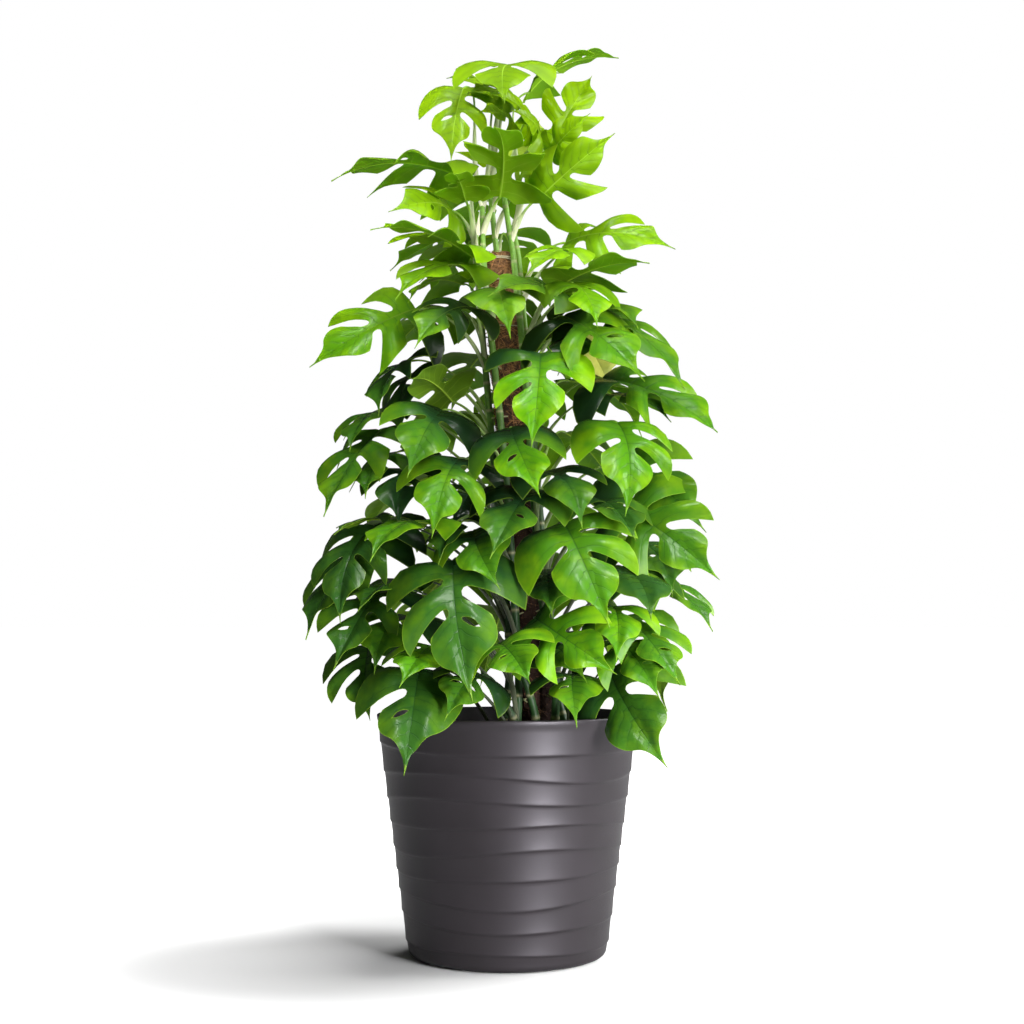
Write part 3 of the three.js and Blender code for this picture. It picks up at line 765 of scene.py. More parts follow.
@dataclass
class PottingSoil:
    """Bed of soil with bark crumbs lying on it."""

    planter: Planter
    level: float = 265
    bump: float = 3
    sides: int = 120
    bed_gap: float = 0.6  # between the bed and the planter's wall
    rows: int = 44
    chips: int = 900
    chip: float = 7.0  # a common crumb
    chip_margin: float = 8  # from the planter's wall
    chip_seed: int = 11

    def surface(self, x: Array, y: Array) -> Array:
        """Height of the soil at each place.

        Args:
            x: places to the right.
            y: places to the back.

        Returns:
            The heights.
        """
        radius, angle = np.hypot(x, y), np.arctan2(y, x)
        wave = np.sin(3 * angle + radius / 9) * np.cos(2 * angle + radius / 23)
        places = np.stack([x, y, np.zeros_like(x)], axis=1)
        return self.level + self.bump * wave + 1.6 * ripple(places, 14, 5) + ripple(places, 5, 6)

    def bed(self) -> Patch:
        """Closed bed down to the planter's floor.

        Returns:
            The bed.
        """
        angles = np.arange(self.sides) * TURN / self.sides
        foot = self.planter.floor + 0.3
        rings = []
        for z in (foot, self.level - 8):
            reach = self.planter.cone(z) - self.planter.wall - self.bed_gap
            rings.append((angles * 0 + reach, angles * 0 + z))
        edge = self.planter.cone(self.level) - self.planter.wall - 2 * self.bed_gap
        for share in np.linspace(1, 0.01, self.rows):
            x, y = edge * share * np.cos(angles), edge * share * np.sin(angles)
            rings.append((angles * 0 + edge * share, self.surface(x, y)))
        return round_solid(angles, rings, foot, self.level)

    def ball(self) -> tuple[Array, Array]:
        """Corners and faces of a solid of twenty triangles, with its corners one away from its middle.

        Returns:
            Corners, and faces as rows of corner numbers.
        """
        golden = (1 + math.sqrt(5)) / 2
        corners = [(0, a, b * golden) for a in (-1, 1) for b in (-1, 1)]
        ball = np.array([c[k:] + c[:k] for c in corners for k in range(3)], dtype=float)
        ball /= np.linalg.norm(ball[0])
        faces = []
        for trio in combinations(range(12), 3):
            a, b, c = ball[list(trio)]
            if max(np.linalg.norm(side) for side in (a - b, b - c, c - a)) < 1.1:
                outwards = np.dot(np.cross(b - a, c - a), a) > 0
                faces.append(trio if outwards else (trio[0], trio[2], trio[1]))
        return ball, np.array(faces)

    def crumbs(self, piece: MeshPiece) -> None:
        """Scatter bark crumbs: each one a dented ball, flat and turned at random.

        Args:
            piece: mesh that it goes into.
        """
        ball, faces = self.ball()
        random = np.random.default_rng(self.chip_seed)
        edge = self.planter.cone(self.level) - self.planter.wall - self.chip_margin
        for _ in range(self.chips):
            reach = edge * math.sqrt(random.uniform())
            middle = polar(reach, random.uniform(0, TURN))
            middle[2] = self.surface(middle[:1], middle[1:2])[0]
            scale = self.chip * random.uniform(0.25, 0.8) * np.array([1, random.uniform(0.5, 0.9), 0.4])
            shape = ball * scale * random.uniform(0.75, 1.2, size=(12, 1))
            turn = random.uniform(0, TURN)
            cos, sin = math.cos(turn), math.sin(turn)
            shape = shape @ np.array([[cos, sin, 0], [-sin, cos, 0], [0, 0, 1]])
            tint = (random.uniform(-0.3, 0.8), 0, 0, 1)
            piece.add_patch(Patch(shape + middle, faces, np.zeros((12, 2))), tint)

    def build(self, soil: PlainFibre, bark: PlainFibre) -> None:
        """Build the bed and its crumbs.

        Args:
            soil: finish of the bed.
            bark: finish of the crumbs.
        """
        bed = MeshPiece("soil_bed")
        bed.add_patch(self.bed())
        bed.build(soil.material(), "soil", ("potting_soil",))
        crumbs = MeshPiece("bark_crumbs")
        self.crumbs(crumbs)
        crumbs.build(bark.material(), "soil")


# ------------------------------------------------------------------ pole and canes


@dataclass
class CoirPole:
    """Leaning pole of wound coconut fibre on a core, tied round near its top."""

    radius: float = 23
    foot: tuple[float, float, float] = (62, 0, 70)
    top: tuple[float, float, float] = (-14, 0, 941)
    core_rows: int = 240
    core_sides: int = 40
    fibres: int = 2600
    fibre_radius: float = 0.45  # real fibres are half as thick, too fine to show
    lowest_fibre: float = 260
    shortest_fibre: float = 6
    thread_radius: float = 0.8
    fibre_seed: int = 17
    shade_heights: tuple[float, float] = (480, 880)  # height over which the painted shade on the fibre ends
    # Height of each turn of the binding thread, and how far it dips.
    threads: tuple = ((936, 1.2), (931, -2.0), (905, 1.6), (874, -1.2), (842, 2.0))

    def axis(self, z: float) -> Array:
        """Middle of the pole at a height, also past its top."""
        foot, top = point(*self.foot), point(*self.top)
        return foot + (top - foot) * (z - foot[2]) / (top[2] - foot[2])

    def fibre_shade(self, z: Number) -> Number:
        """Painted shade: the fibre is darker low on the pole and a little lighter at the top."""
        return 0.85 * smooth(*self.shade_heights, z) - 0.7

    def add_core(self, piece: MeshPiece) -> None:
        """Add the uneven core under the loose fibres.

        Args:
            piece: mesh that it goes into.
        """
        rows, sides = self.core_rows, self.core_sides
        points = np.array([self.axis(z) for z in np.linspace(self.foot[2], self.top[2], rows)])
        patch = tube(points, np.full(rows, self.radius - 1.6), sides, point(1, 0, 0))
        skin, middles = patch.vertices[: rows * sides], np.repeat(points, sides, axis=0)
        skin[:] = middles + (skin - middles) * (1 + 0.045 * ripple(skin, 9, 3)[:, None])
        tint = np.zeros((len(patch.vertices), 4))
        # Painted shade low on the pole.
        tint[:, 0] = self.fibre_shade(patch.vertices[:, 2])
        piece.add_patch(patch, tint)

    def add_fibres(self, piece: MeshPiece) -> None:
        """Add loose fibres that wind along the core and stand off it in the middle.

        Args:
            piece: mesh that it goes into.
        """
        random = np.random.default_rng(self.fibre_seed)
        for _ in range(self.fibres):
            z = random.uniform(self.lowest_fibre, self.top[2] - 4)
            around = random.uniform(0, TURN)
            sweep = random.normal(0, 0.9)
            rise = random.normal(0, 16)
            lift = random.exponential(1.0)
            line = []
            for step in np.linspace(0, 1, 6):
                level = min(z + rise * step, self.top[2] + 1)
                reach = self.radius - 1.3 + lift * 4 * step * (1 - step) + 0.5 * math.sin(9 * step)
                line.append(self.axis(level) + polar(reach, around + sweep * step))
            if np.linalg.norm(line[-1] - line[0]) < self.shortest_fibre:
                continue
            patch = tube(np.array(line), np.full(6, self.fibre_radius), 3, unit(point(0.3, 0.2, 1)))
            # Random lightness of each fibre, with the painted shade of its height.
            lightness = random.uniform(-0.1, 0.8) + float(self.fibre_shade(z))
            piece.add_patch(patch, (lightness, 0, 0, 1))

    def add_threads(self, piece: MeshPiece) -> None:
        """Add the turns of binding thread.

        Args:
            piece: mesh that it goes into.
        """
        for z, dip in self.threads:
            line = np.array([
                self.axis(z + dip * math.sin(angle)) + polar(self.radius + 0.3, angle)
                for angle in np.linspace(0, TURN, 60)
            ])
            piece.add_patch(tube(line, np.full(60, self.thread_radius), 6, UP), (0.3, 0, 0, 1))

    def build(self, coir: PlainFibre, thread: PlainFibre) -> None:
        """Build the core, its loose fibres and the binding thread.

        Args:
            coir: finish of the core and the fibres.
            thread: finish of the thread.
        """
        coir_material = coir.material()
        for name, add, material, nodes in (
            ("coir_core", self.add_core, coir_material, ("coir_pole",)),
            ("coir_fibres", self.add_fibres, coir_material, ()),
            ("binding_thread", self.add_threads, thread.material(), ()),
        ):
            piece = MeshPiece(name)
            add(piece)
            piece.build(material, "coir", nodes)


@dataclass(frozen=True)
class Vine:
    """One leafy stem: the side of the pole that it climbs, and how high."""

    name: str
    around: float  # degrees
    top: float


@dataclass
class Cane:
    """The climbing canes, upright in the soil, then leaning in to the pole."""

    pole: CoirPole
    soil: PottingSoil
    radius: float = 5.6
    tip_radius: float = 3.6
    root: float = 210
    lean_from: float = 270
    lean_height: float = 150
    splay: float = 32
    sway: float = 5  # degrees to each side on the way up
    joint: float = 38  # between two joints
    shoot_joint: float = 30
    sides: int = 18

    def axis(self, vine: Vine, z: float) -> Array:
        """Middle of a cane at a height.

        Args:
            vine: the leafy stem.
            z: the height.

        Returns:
            The point.
        """
        leaning = max(z, self.lean_from)
        low = float(np.clip(1 - (leaning - self.lean_from) / self.lean_height, 0, 1))
        high = float(np.clip((z - self.pole.top[2]) / 120, 0, 1))
        sway = self.sway * math.sin(z / 90 + vine.around) * (1 - low) * (1 - high)
        spread = self.pole.radius + self.radius + 1.4 + self.splay * low * low - 10 * high
        place = self.pole.axis(leaning) + polar(spread, math.radians(vine.around + sway))
        place[2] = z
        return place

    def add_cane(self, piece: MeshPiece, vine: Vine) -> None:
        """Add a cane that thickens at each joint, with a pale scar there.

        Args:
            piece: mesh that it goes into.
            vine: the leafy stem.
        """
        levels = np.arange(self.root, vine.top + 0.1, 2.0)
        share = np.clip((levels - self.lean_from) / (vine.top - self.lean_from), 0, 1)
        radii = mix(self.radius, self.tip_radius, share**2) * 0.97
        phase = (levels / self.joint + vine.around / 50) % 1
        scar = pulse(phase, 0.5, 0.045)
        radii = radii * (1 + 0.16 * pulse(phase, 0.47, 0.1) - 0.08 * scar)
        points = np.array([self.axis(vine, z) for z in levels])
        flank = point(-math.sin(vine.around), math.cos(vine.around), 0)
        young = np.append(np.repeat(smooth(0.35, 1, share), self.sides), [0, 1])
        scars = np.append(np.repeat(0.8 * scar, self.sides), [0, 0])
        tint = np.stack([young, scars, young * 0, young * 0 + 1], axis=1)
        piece.add_patch(tube(points, radii, self.sides, flank), tint)

    def add_shoot(self, piece: MeshPiece, start: Array, corner: Array, end: Array) -> None:
        """Add a basal shoot, a plain thick curve from the soil up into the leaves.

        Args:
            piece: mesh that it goes into.
            start: its foot.
            corner: what it is drawn towards on its way.
            end: its top.
        """
        rows, sides = 60, 16
        line = arc(start, corner, end, rows)
        scar = pulse((line[:, 2] / self.shoot_joint) % 1, 0.5, 0.06)
        patch = tube(line, mix(6.4, 4.2, np.linspace(0, 1, rows)) + 0.7 * scar, sides, point(1, 0, 0))
        tint = np.zeros((len(patch.vertices), 4))
        tint[: rows * sides, 1] = np.repeat(0.7 * scar, sides)
        piece.add_patch(patch, tint)

    def add_roots(self, piece: MeshPiece, vine: Vine, draw: SeededDraw) -> None:
        """Add the short air roots that hold the cane to the pole, two at each joint.

        Args:
            piece: mesh that it goes into.
            vine: the leafy stem.
            draw: numbers that set their places.
        """
        for level in np.arange(self.lean_from + 30, min(vine.top, self.pole.top[2]) - 20, self.joint):
            for _ in range(2):
                z = level + 12 * (draw() - 0.5)
                start = self.axis(vine, z)
                angle = math.radians(vine.around + 50 * (draw() - 0.5))
                end = self.pole.axis(z + 14 * (draw() - 0.6)) + polar(self.pole.radius - 1, angle)
                corner = (start + end) / 2 + UP * 4 * (draw() - 0.7)
                line = arc(start, corner, end, 6)
                patch = tube(line, np.linspace(1.5, 0.8, 6), 6, unit(point(0.2, 0.1, 1)))
                piece.add_patch(patch, (0.2, 0.6 + 0.3 * draw(), 0, 1))


# ------------------------------------------------------------------ leaves


class Side(Enum):
    """The two halves of a blade."""

    LEFT = 1
    RIGHT = -1


class Cut(Enum):
    """How the blade is cut between two side veins."""

    SLIT = "open to the margin"
    WINDOW = "closed at the margin"


class Opening(NamedTuple):
    """A cut in one half of a blade."""

    place: float  # along the midrib, as a share of the blade
    kind: Cut
    start: float  # how near the midrib it starts, as a share of the side vein
    width: float  # 1 is a common slit


class LeafRow(NamedTuple):
    """A leaf in the plan: stem, joint with the stalk, tip, how far it looks to the front, slits."""

    vine: str
    base: Array
    tip: Array
    frontness: float
    left_slits: int
    right_slits: int
    age: float  # 0 is lime green, 1 dull and dark, and below 0 pale yellow


# The plan, from the crown downwards, and at its end the small leaves inside the crown. Each row has
# the stem, the joint with the stalk, the tip, how far the blade looks to the front, the slits on
# each side and the age.
PLAN = """
front_left -60 -20 1168 -75 -65 1060 0.5 1 2 0.35
left -15 15 1165 -82 72 1214 0.1 1 1 0.5
right 30 5 1170 155 30 1228 0 2 1 0.45
back 2 -20 1196 -4 -138 1110 0.3 1 1 0.5
right 56 25 1098 116 45 1203 0.7 2 2 0
front_right 24 -40 1115 -15 -115 1127 0.6 1 2 0.1
front_left -10 -45 1010 -15 -175 1065 0.1 2 2 0.15
front_right 41 -35 1009 137 -75 1084 0.5 2 1 0.3
left -65 0 1051 -226 -67 1031 0.2 2 2 0.5
left -76 -5 1009 -149 -98 987 0.8 1 1 0.2
back -24 40 1078 -57 104 1125 0.2 0 1 0
front_left -46 -45 936 -169 -132 954 0.1 2 2 0.08
left -49 -30 925 -140 -122 870 0.4 2 1 0.13
left -63 15 911 -132 -62 875 0.3 1 1 0.03
left -124 -25 862 -252 -80 780 0.5 2 2 0.18
left -50 -70 858 -115 -150 795 0.4 1 2 0.23
right 79 -5 957 215 -60 940 0.58 2 2 0.18
right 71 -25 911 176 -108 923 0 1 1 0.28
front_right 81 -60 918 29 -139 872 0.3 1 1 0.08
front_right 71 -35 892 -19 -121 880 0 1 1 0.33
front_left -14 -85 878 3 -176 802 0.6 0 1 0.18
front_right 86 -80 910 113 -168 840 0.4 1 1 0.05
right 99 -10 877 167 -112 833 0.3 2 1 0.48
right 111 -35 876 225 -106 775 0.4 2 2 0.53
front_right 73 -80 839 166 -172 747 0.4 2 1 0.33
front_right 43 -130 784 31 -210 662 0.9 2 1 0.03
right 100 -60 843 67 -154 776 0.5 1 1 0.43
right 106 5 829 140 90 787 0.8 0 0 -1
right 128 -15 769 275 -84 688 0.5 2 2 0.38
right 126 0 744 210 -84 706 0.3 1 2 0.73
front_right 142 -105 698 148 -190 580 0.9 1 2 0.27
front_right 4 -130 689 38 -222 599 0.8 1 1 0.15
right 155 -60 590 260 -150 500 0.9 2 2 0.52
right 150 -5 652 254 -85 565 0.8 1 1 0.57
front_right 49 -90 635 92 -189 562 0.4 1 1 0.65
right 121 -80 599 157 -192 545 0.3 1 1 0.77
front_right 72 -140 565 120 -245 442 0.8 1 2 0.42
right 169 -60 546 209 -170 478 0.4 1 1 0.72
right 148 -95 512 176 -215 448 0.5 0 1 0.87
right 190 0 499 260 -105 435 0.2 2 2 0.62
left -131 -10 795 -168 -99 715 0.2 1 2 0.65
left -128 10 805 -139 -64 711 0.2 1 1 0.6
left -74 -30 735 -120 -134 751 0.3 1 1 0.7
front_left -85 -80 733 -122 -180 643 0.7 1 1 0.55
left -168 5 728 -206 -99 670 0.2 2 1 0.6
left -172 -20 698 -234 -105 584 0.2 2 2 0.55
left -144 -25 670 -182 -130 604 0.2 1 2 0.6
front_left -63 -110 650 -91 -205 551 0.7 1 2 0.35
left -131 -60 643 -137 -160 565 0.6 1 1 0.95
front_right 29 -120 618 -18 -225 532 0.5 1 1 0.65
front_left -43 -110 557 -12 -205 485 0.6 1 0 0.4
front_left -68 -140 518 -44 -225 355 0.9 2 1 0.75
left -150 -20 574 -218 -120 555 0.2 1 2 0.9
left -184 -10 566 -257 -97 443 0.3 2 2 0.8
left -175 -40 559 -212 -123 440 0.3 2 2 0.85
front_left -97 -75 565 -164 -183 520 0.3 1 1 0.35
left -134 -45 513 -185 -152 474 0.4 1 1 0.8
left -166 -30 483 -216 -138 388 0.4 2 2 0.8
front_left -133 -70 448 -166 -184 383 0.5 1 1 0.6
left -182 -40 410 -173 -150 324 0.4 2 1 0.75
front_left -112 -125 380 -122 -235 266 0.8 1 0 0.8
front_left -95 -120 409 -127 -225 367 0.5 1 1 0.3
front_left -32 -115 356 -73 -212 311 0.4 1 1 0.6
front_right 35 -140 445 125 -235 382 0.8 2 2 0.3
front_left -10 -125 405 27 -236 361 0.6 1 1 0.4
front_right 46 -100 409 94 -200 372 0.6 0 1 0.6
front_right 84 -115 373 84 -212 319 0.5 1 0 0.5
right 132 -110 376 190 -225 270 0.8 1 1 0.7
right 136 -90 409 183 -205 345 0.6 2 2 0.5
front_right 134 -130 451 133 -230 390 0.7 1 1 0.3
right 154 -50 448 208 -160 370 0.5 2 2 0.55
front_right 53 -75 508 55 -180 452 0.5 1 1 0.6
front_left -49 -60 627 -70 -155 565 0.5 1 1 0.7
front_left -52 -55 572 -85 -145 518 0.5 1 1 0.7
front_left 9 -30 1116 -36 -80 1116 0.4 1 1 0.45
back 44 -20 1091 8 -90 1106 0.6 1 1 0.35
back 22 45 1112 45 65 1176 0.6 1 1 -0.5
back -2 10 1146 -50 -40 1132 0.4 1 1 0.6
right 57 -15 1078 108 -45 1122 0.5 1 2 0.2
left -56 -30 1003 -68 -105 1018 0.4 1 1 0.1
back 17 20 1029 45 -25 1064 0.6 1 1 0.5
"""




@dataclass
class FarSide:
    """Rule for the leaves of the far side: each next one a golden angle further round."""

    count: int = 23
    lowest: float = 420
    highest: float = 1050
    start: float = 28
    end: float = 156
    reach: float = 265
    length: float = 150
    golden: float = 0.618  # share of the far side from one leaf to the next
    right_end: float = 55  # degrees at which the right stem's share ends
    left_start: float = 128

    def rows(self, pole: CoirPole) -> Iterator[LeafRow]:
        """Leaves of the far side in the plan's form.

        Args:
            pole: the pole that they stand round.

        Yields:
            One leaf after the other, from below.
        """
        for index in range(self.count):
            share = (index + 0.5) / self.count
            z = mix(self.lowest, self.highest, share)
            degrees = mix(self.start, self.end, (index * self.golden) % 1)
            reach = self.reach * (1 - (0.45 * share**2 + 0.2 * max(0, 1 - share / 0.25)))
            length = self.length * (1 - 0.15 * share)
            drop = length * (0.75 - 0.5 * share)
            run = math.sqrt(length**2 - drop**2)
            hub, outward = pole.axis(z), polar(1, math.radians(degrees))
            base, tip = hub + outward * (reach - run), hub + outward * reach
            tip[2] = z - drop
            behind = "back" if degrees < self.left_start else "left"
            vine = "right" if degrees < self.right_end else behind
            age = 0.75 - 0.5 * share + 0.2 * math.sin(index * 2.4)
            yield LeafRow(vine, base, tip, 0, 1 + index % 2, 1 if index % 3 else 2, age)


@dataclass
class Leaf:
    """A leaf in place: its frame, its bends and its cuts."""

    row: LeafRow
    base: Array
    tip: Array
    length: float
    along: Array
    upper: Array
    sideways: Array
    arch: float
    rise: float
    droop: float
    hook: float
    stagger: float
    draw: SeededDraw
    edge: float = 0.5  # mm, half the tip's thickness in the solid
    window_chance: float = 0.22

    def edge_points(self) -> tuple[Array, Array]:
        """The two corners of the blade's tip."""
        return self.tip + self.upper * self.edge, self.tip - self.upper * self.edge

    def openings(self, side: Side) -> list[Opening]:
        """Cuts of one half, from base to tip.

        Args:
            side: which half.

        Returns:
            The cuts.
        """
        count = self.row.left_slits if side is Side.LEFT else self.row.right_slits
        width = 1.3 if count == 1 else 1.05
        cuts = []
        for place in ((), (0.3,), (0.19, 0.44))[count]:
            start = 0.13 + 0.06 * self.draw()
            wide = width * (0.7 + 0.65 * self.draw())
            cuts.append(Opening(place + side.value * self.stagger, Cut.SLIT, start, wide))
        if count and self.draw() < self.window_chance:
            place = cuts[-1].place + 0.21
            cuts.append(Opening(place, Cut.WINDOW, 0.13, 0.8 + 0.5 * self.draw()))
        return cuts


def lay_leaf(row: LeafRow, index: int, pole: CoirPole, twist: float, shift: Array) -> Leaf:
    """Work out a leaf's frame and bends from its row and a small move.

    Args:
        row: the leaf in the plan.
        index: its number, which seeds its bends.
        pole: the pole, from which it looks outward.
        twist: turn about the midrib in degrees.
        shift: move in millimetres.

    Returns:
        The leaf in place.
    """
    draw = SeededDraw(index + 1)
    base, tip = row.base + shift, row.tip + shift
    length = float(np.linalg.norm(tip - base))
    along = (tip - base) / length
    outward = (base + tip) / 2 - pole.axis(base[2])
    outward[2] = 0
    facing = (UP * 0.8 + unit(outward) * 0.5) * (1 - row.frontness) + FRONT * 1.1 * row.frontness
    upper = unit(facing - along * float(facing @ along))
    upper = turned(upper, along, twist + 20 * (draw() - 0.5))
    return Leaf(
        row, base, tip, length, along, upper, np.cross(along, upper),
        arch=0.07 + 0.08 * draw(),
        rise=0.22 + 0.12 * draw(),
        droop=0.75 + 0.6 * draw(),
        hook=0.09 * (draw() - 0.5),
        stagger=0.035 * (draw() - 0.5),
        draw=draw,
    )


def settle_leaf(row: LeafRow, index: int, pole: CoirPole, corners: KDTree) -> Leaf:
    """Find the small move that a leaf was given in the solids, by the corners of its tip.

    Args:
        row: the leaf in the plan.
        index: its number.
        pole: the pole.
        corners: vertices of the stem's solid in millimetres.

    Returns:
        The leaf where the solid has it.
    """
    best, nearest = None, math.inf
    twists = (0, 14, -14, 28, -28)
    depths = (0, 12, -12, 24, -24, 36, -36)
    rises = (0, 8, -8, 16, -16, 24, -24)
    for twist, depth, rise in product(twists, depths, rises):
        leaf = lay_leaf(row, index, pole, twist, point(0, depth, rise))
        miss = max(corners.find(Vector(corner))[2] for corner in leaf.edge_points())
        if miss < nearest:
            best, nearest = leaf, miss
        if miss < CLOSE:
            return leaf
    LOG.warning("leaf %d is %.2f mm off its solid", index, nearest)
    return best


@dataclass
class BladeMaker:
    """Fine blades: a grid that runs along the side veins, opened where the blade is cut."""

    breadth: float = 0.58
    thickness: float = 0.6
    spacing: float = 0.036  # between two columns, as a share of the blade
    vein_spacing: float = 0.11
    inner_rows: tuple[float, ...] = (0.0, 0.06, 0.17, 0.5, 1.0)
    outer_rows: tuple[float, ...] = (0.03, 0.08, 0.16, 0.28, 0.42, 0.58, 0.74, 0.88, 1.0)
    rib_height: tuple[float, ...] = (1.1, 0.8, 0.1)  # mm below the blade, by row
    plain_start: float = 0.2
    drip: float = 0.055  # how far the tip is drawn out, as a share of the blade
    drip_room: float = 0.013  # metres that the tip must lie inside the model's box for that
    # Painted shade: blades near the plant's middle and below the crown are darker.
    core: tuple[float, float] = (75, 185)  # mm from the plant's middle, over which darkness ends
    crown: tuple[float, float] = (790, 940)  # mm of height, over which it ends too

    def vein_place(self, s: Array, t: Array, side: Side) -> tuple[Array, Array]:
        """Place in the flat blade, s along the midrib and t out along the side vein there.

        Args:
            s: places along the midrib, as shares of the blade.
            t: places out along the side vein.
            side: which half.

        Returns:
            Shares of the blade along and across.
        """
        reach = self.breadth * (1 - s) ** 1.15 * (1 - 0.55 * np.exp(-14 * s))
        sweep = -0.4 + s * (4.2 - s * (4.2 - 1.6 * s))
        return s + sweep * reach * t**1.5, side.value * reach * t

    def columns(self, cuts: list[Opening]) -> Array:
        """Places along the midrib of the grid's columns, with one at each cut of both halves.

        Args:
            cuts: the cuts.

        Returns:
            The places, as shares of the blade.
        """
        stops = sorted({0.0, 0.03, 0.9, 0.95, 1.0, *(cut.place for cut in cuts)})
        places = [0.0]
        for low, high in pairwise(stops):
            count = max(1, round((high - low) / self.spacing))
            places.extend(np.linspace(low, high, count + 1)[1:])
        return np.array(places)

    def margin(self, p: Array, first: bool, last: bool) -> Array:
        """How far out a lobe's margin lies, by the share of the way along the lobe.

        Args:
            p: shares of the way along the lobe.
            first: whether it is the lobe at the blade's base.
            last: whether it is the lobe at the tip.

        Returns:
            Shares of the side vein there.
        """
        start = 0.58 if first else 0.7
        if last:
            out = 0.94 - (0.94 - start) * np.clip(1 - p / 0.36, 0, 1) ** 2.2
            return out * (1 - 0.22 * smooth(0.35, 0.8, p) - 0.33 * smooth(0.78, 0.96, p))
        return start + (1.1 - start) * np.sin(math.pi / 2 * np.clip(p / 0.85, 0, 1)) ** 0.9

    def gap(self, cut: Opening, q: Array) -> tuple[Array, Array]:
        """Half widths of a cut on the side of the base and of the tip, by the share outwards.

        Args:
            cut: the cut.
            q: places outwards, from 0 where the cut starts to 1 at the margin.

        Returns:
            Both half widths, as shares of the blade.
        """
        if cut.kind is Cut.WINDOW:
            swell = np.sin(math.pi * np.clip(q / 0.58, 0, 1)) ** 0.6
            swell = np.where(q < 0.575, swell, 0)
            return 0.02 * cut.width * swell, 0.024 * cut.width * swell
        inner = np.sqrt(1 - (1 - np.clip(q / 0.16, 0, 1)) ** 2)
        return cut.width * (0.032 * inner + 0.004 * q), cut.width * (0.042 * inner + 0.01 * q)

    def tip_length(self, leaf: Leaf) -> float:
        """How far a blade's tip is drawn out, where the model's box leaves room for it.

        Args:
            leaf: the leaf.

        Returns:
            A share of the blade.
        """
        low, high = CAD_BOX
        tip = leaf.tip * MM
        return self.drip if np.all((tip > low + self.drip_room) & (tip < high - self.drip_room)) else 0.0

    def relief(self, p: Array, t: Array, s: Array, phase: float) -> Array:
        """Fine bends of a lobe in shares of the blade: arched, with a waved and hanging edge.

        Args:
            p: shares of the way along the lobe.
            t: places out along the side vein.
            s: places along the midrib, as shares of the blade.
            phase: start of the waves at the margin.

        Returns:
            Heights over the plain bend.
        """
        arch = 0.07 * (4 * p * (1 - p) - 0.55) * smooth(0.12, 0.6, t) * (1 - 0.6 * s)
        edge = 0.018 * np.sin(17 * s + phase) * smooth(0.35, 1.05, t)
        hang = -0.085 * smooth(0.5, 1.1, t) * smooth(0.3, 1.0, p) * (1 - s)
        return arch + edge + hang

    def placed(self, leaf: Leaf, s: Array, t: Array, p: Array, side: Side, phase: float) -> Array:
        """Points of the bent blade for places s and t on its veins, p of the way along their lobe.

        Args:
            leaf: the leaf.
            s: places along the midrib, as shares of the blade.
            t: places out along the side vein.
            p: shares of the way along the lobe.
            side: which half.
            phase: start of the waves at the margin.

        Returns:
            The points, in millimetres.
        """
        along, across = self.vein_place(s, t, side)
        along = along + self.tip_length(leaf) * smooth(0.86, 1.0, s)
        swell = 4 * along * (1 - along)
        height = leaf.arch * swell + leaf.rise * np.abs(across) - leaf.droop * across**2
        height = height + self.relief(p, t, s, phase)
        return (
            leaf.base
            + leaf.length * along[..., None] * leaf.along
            + leaf.length * (across + leaf.hook * swell)[..., None] * leaf.sideways
            + leaf.length * height[..., None] * leaf.upper
        )

    def half(self, leaf: Leaf, side: Side, cuts: list[Opening], columns: Array) -> Iterator[tuple]:
        """Grids of one half between its cuts.

        Args:
            leaf: the leaf.
            side: which half.
            cuts: its cuts, from base to tip.
            columns: places of the grid's columns along the midrib.

        Yields:
            Points, map places and rib heights of a grid, and its count of rows and columns.
        """
        stops = [0.0, *(cut.place for cut in cuts), 1.0]
        starts = [cut.start for cut in cuts] or [self.plain_start]
        start_places = [cut.place for cut in cuts] or [0.5]
        lobes = list(pairwise([0.0, *(cut.place for cut in cuts if cut.kind is Cut.SLIT), 1.0]))
        veins = [max(1, round((b - a) / self.vein_spacing)) for a, b in lobes]
        inner, outer = np.array(self.inner_rows), np.array(self.outer_rows)
        ribs = np.zeros(len(inner) + len(outer))
        ribs[: len(self.rib_height)] = self.rib_height
        phase = TURN * leaf.draw()
        for k, (low, high) in enumerate(pairwise(stops)):
            s0 = columns[(columns > low - NEAR) & (columns < high + NEAR)]
            lobe = max(i for i, (a, _) in enumerate(lobes) if a <= low + NEAR)
            a, b = lobes[lobe]
            p = (s0 - a) / (b - a)
            start = np.interp(s0, start_places, starts)
            end = self.margin(p, lobe == 0, lobe == len(lobes) - 1)
            opening = self.gap(cuts[k - 1], outer)[1] if k else 0 * outer
            closing = self.gap(cuts[k], outer)[0] if k < len(cuts) else 0 * outer
            share = (s0 - low) / (high - low)
            lower, upper = low + opening, high - closing
            s_out = lower[:, None] + share[None, :] * (upper - lower)[:, None]
            t_out = start[None, :] + outer[:, None] * (end - start)[None, :]
            s = np.vstack([np.broadcast_to(s0, (len(inner), len(s0))), s_out])
            t = np.vstack([inner[:, None] * start[None, :], t_out])
            p = np.broadcast_to(p, s.shape)
            points = self.placed(leaf, s, t, p, side, phase)
            places = np.stack([sum(veins[:lobe]) + p * veins[lobe], side.value * t], axis=-1)
            rib = ribs[:, None] * (1 - 0.75 * s0)[None, :]
            yield points.reshape(-1, 3), places.reshape(-1, 2), rib.ravel(), s.shape

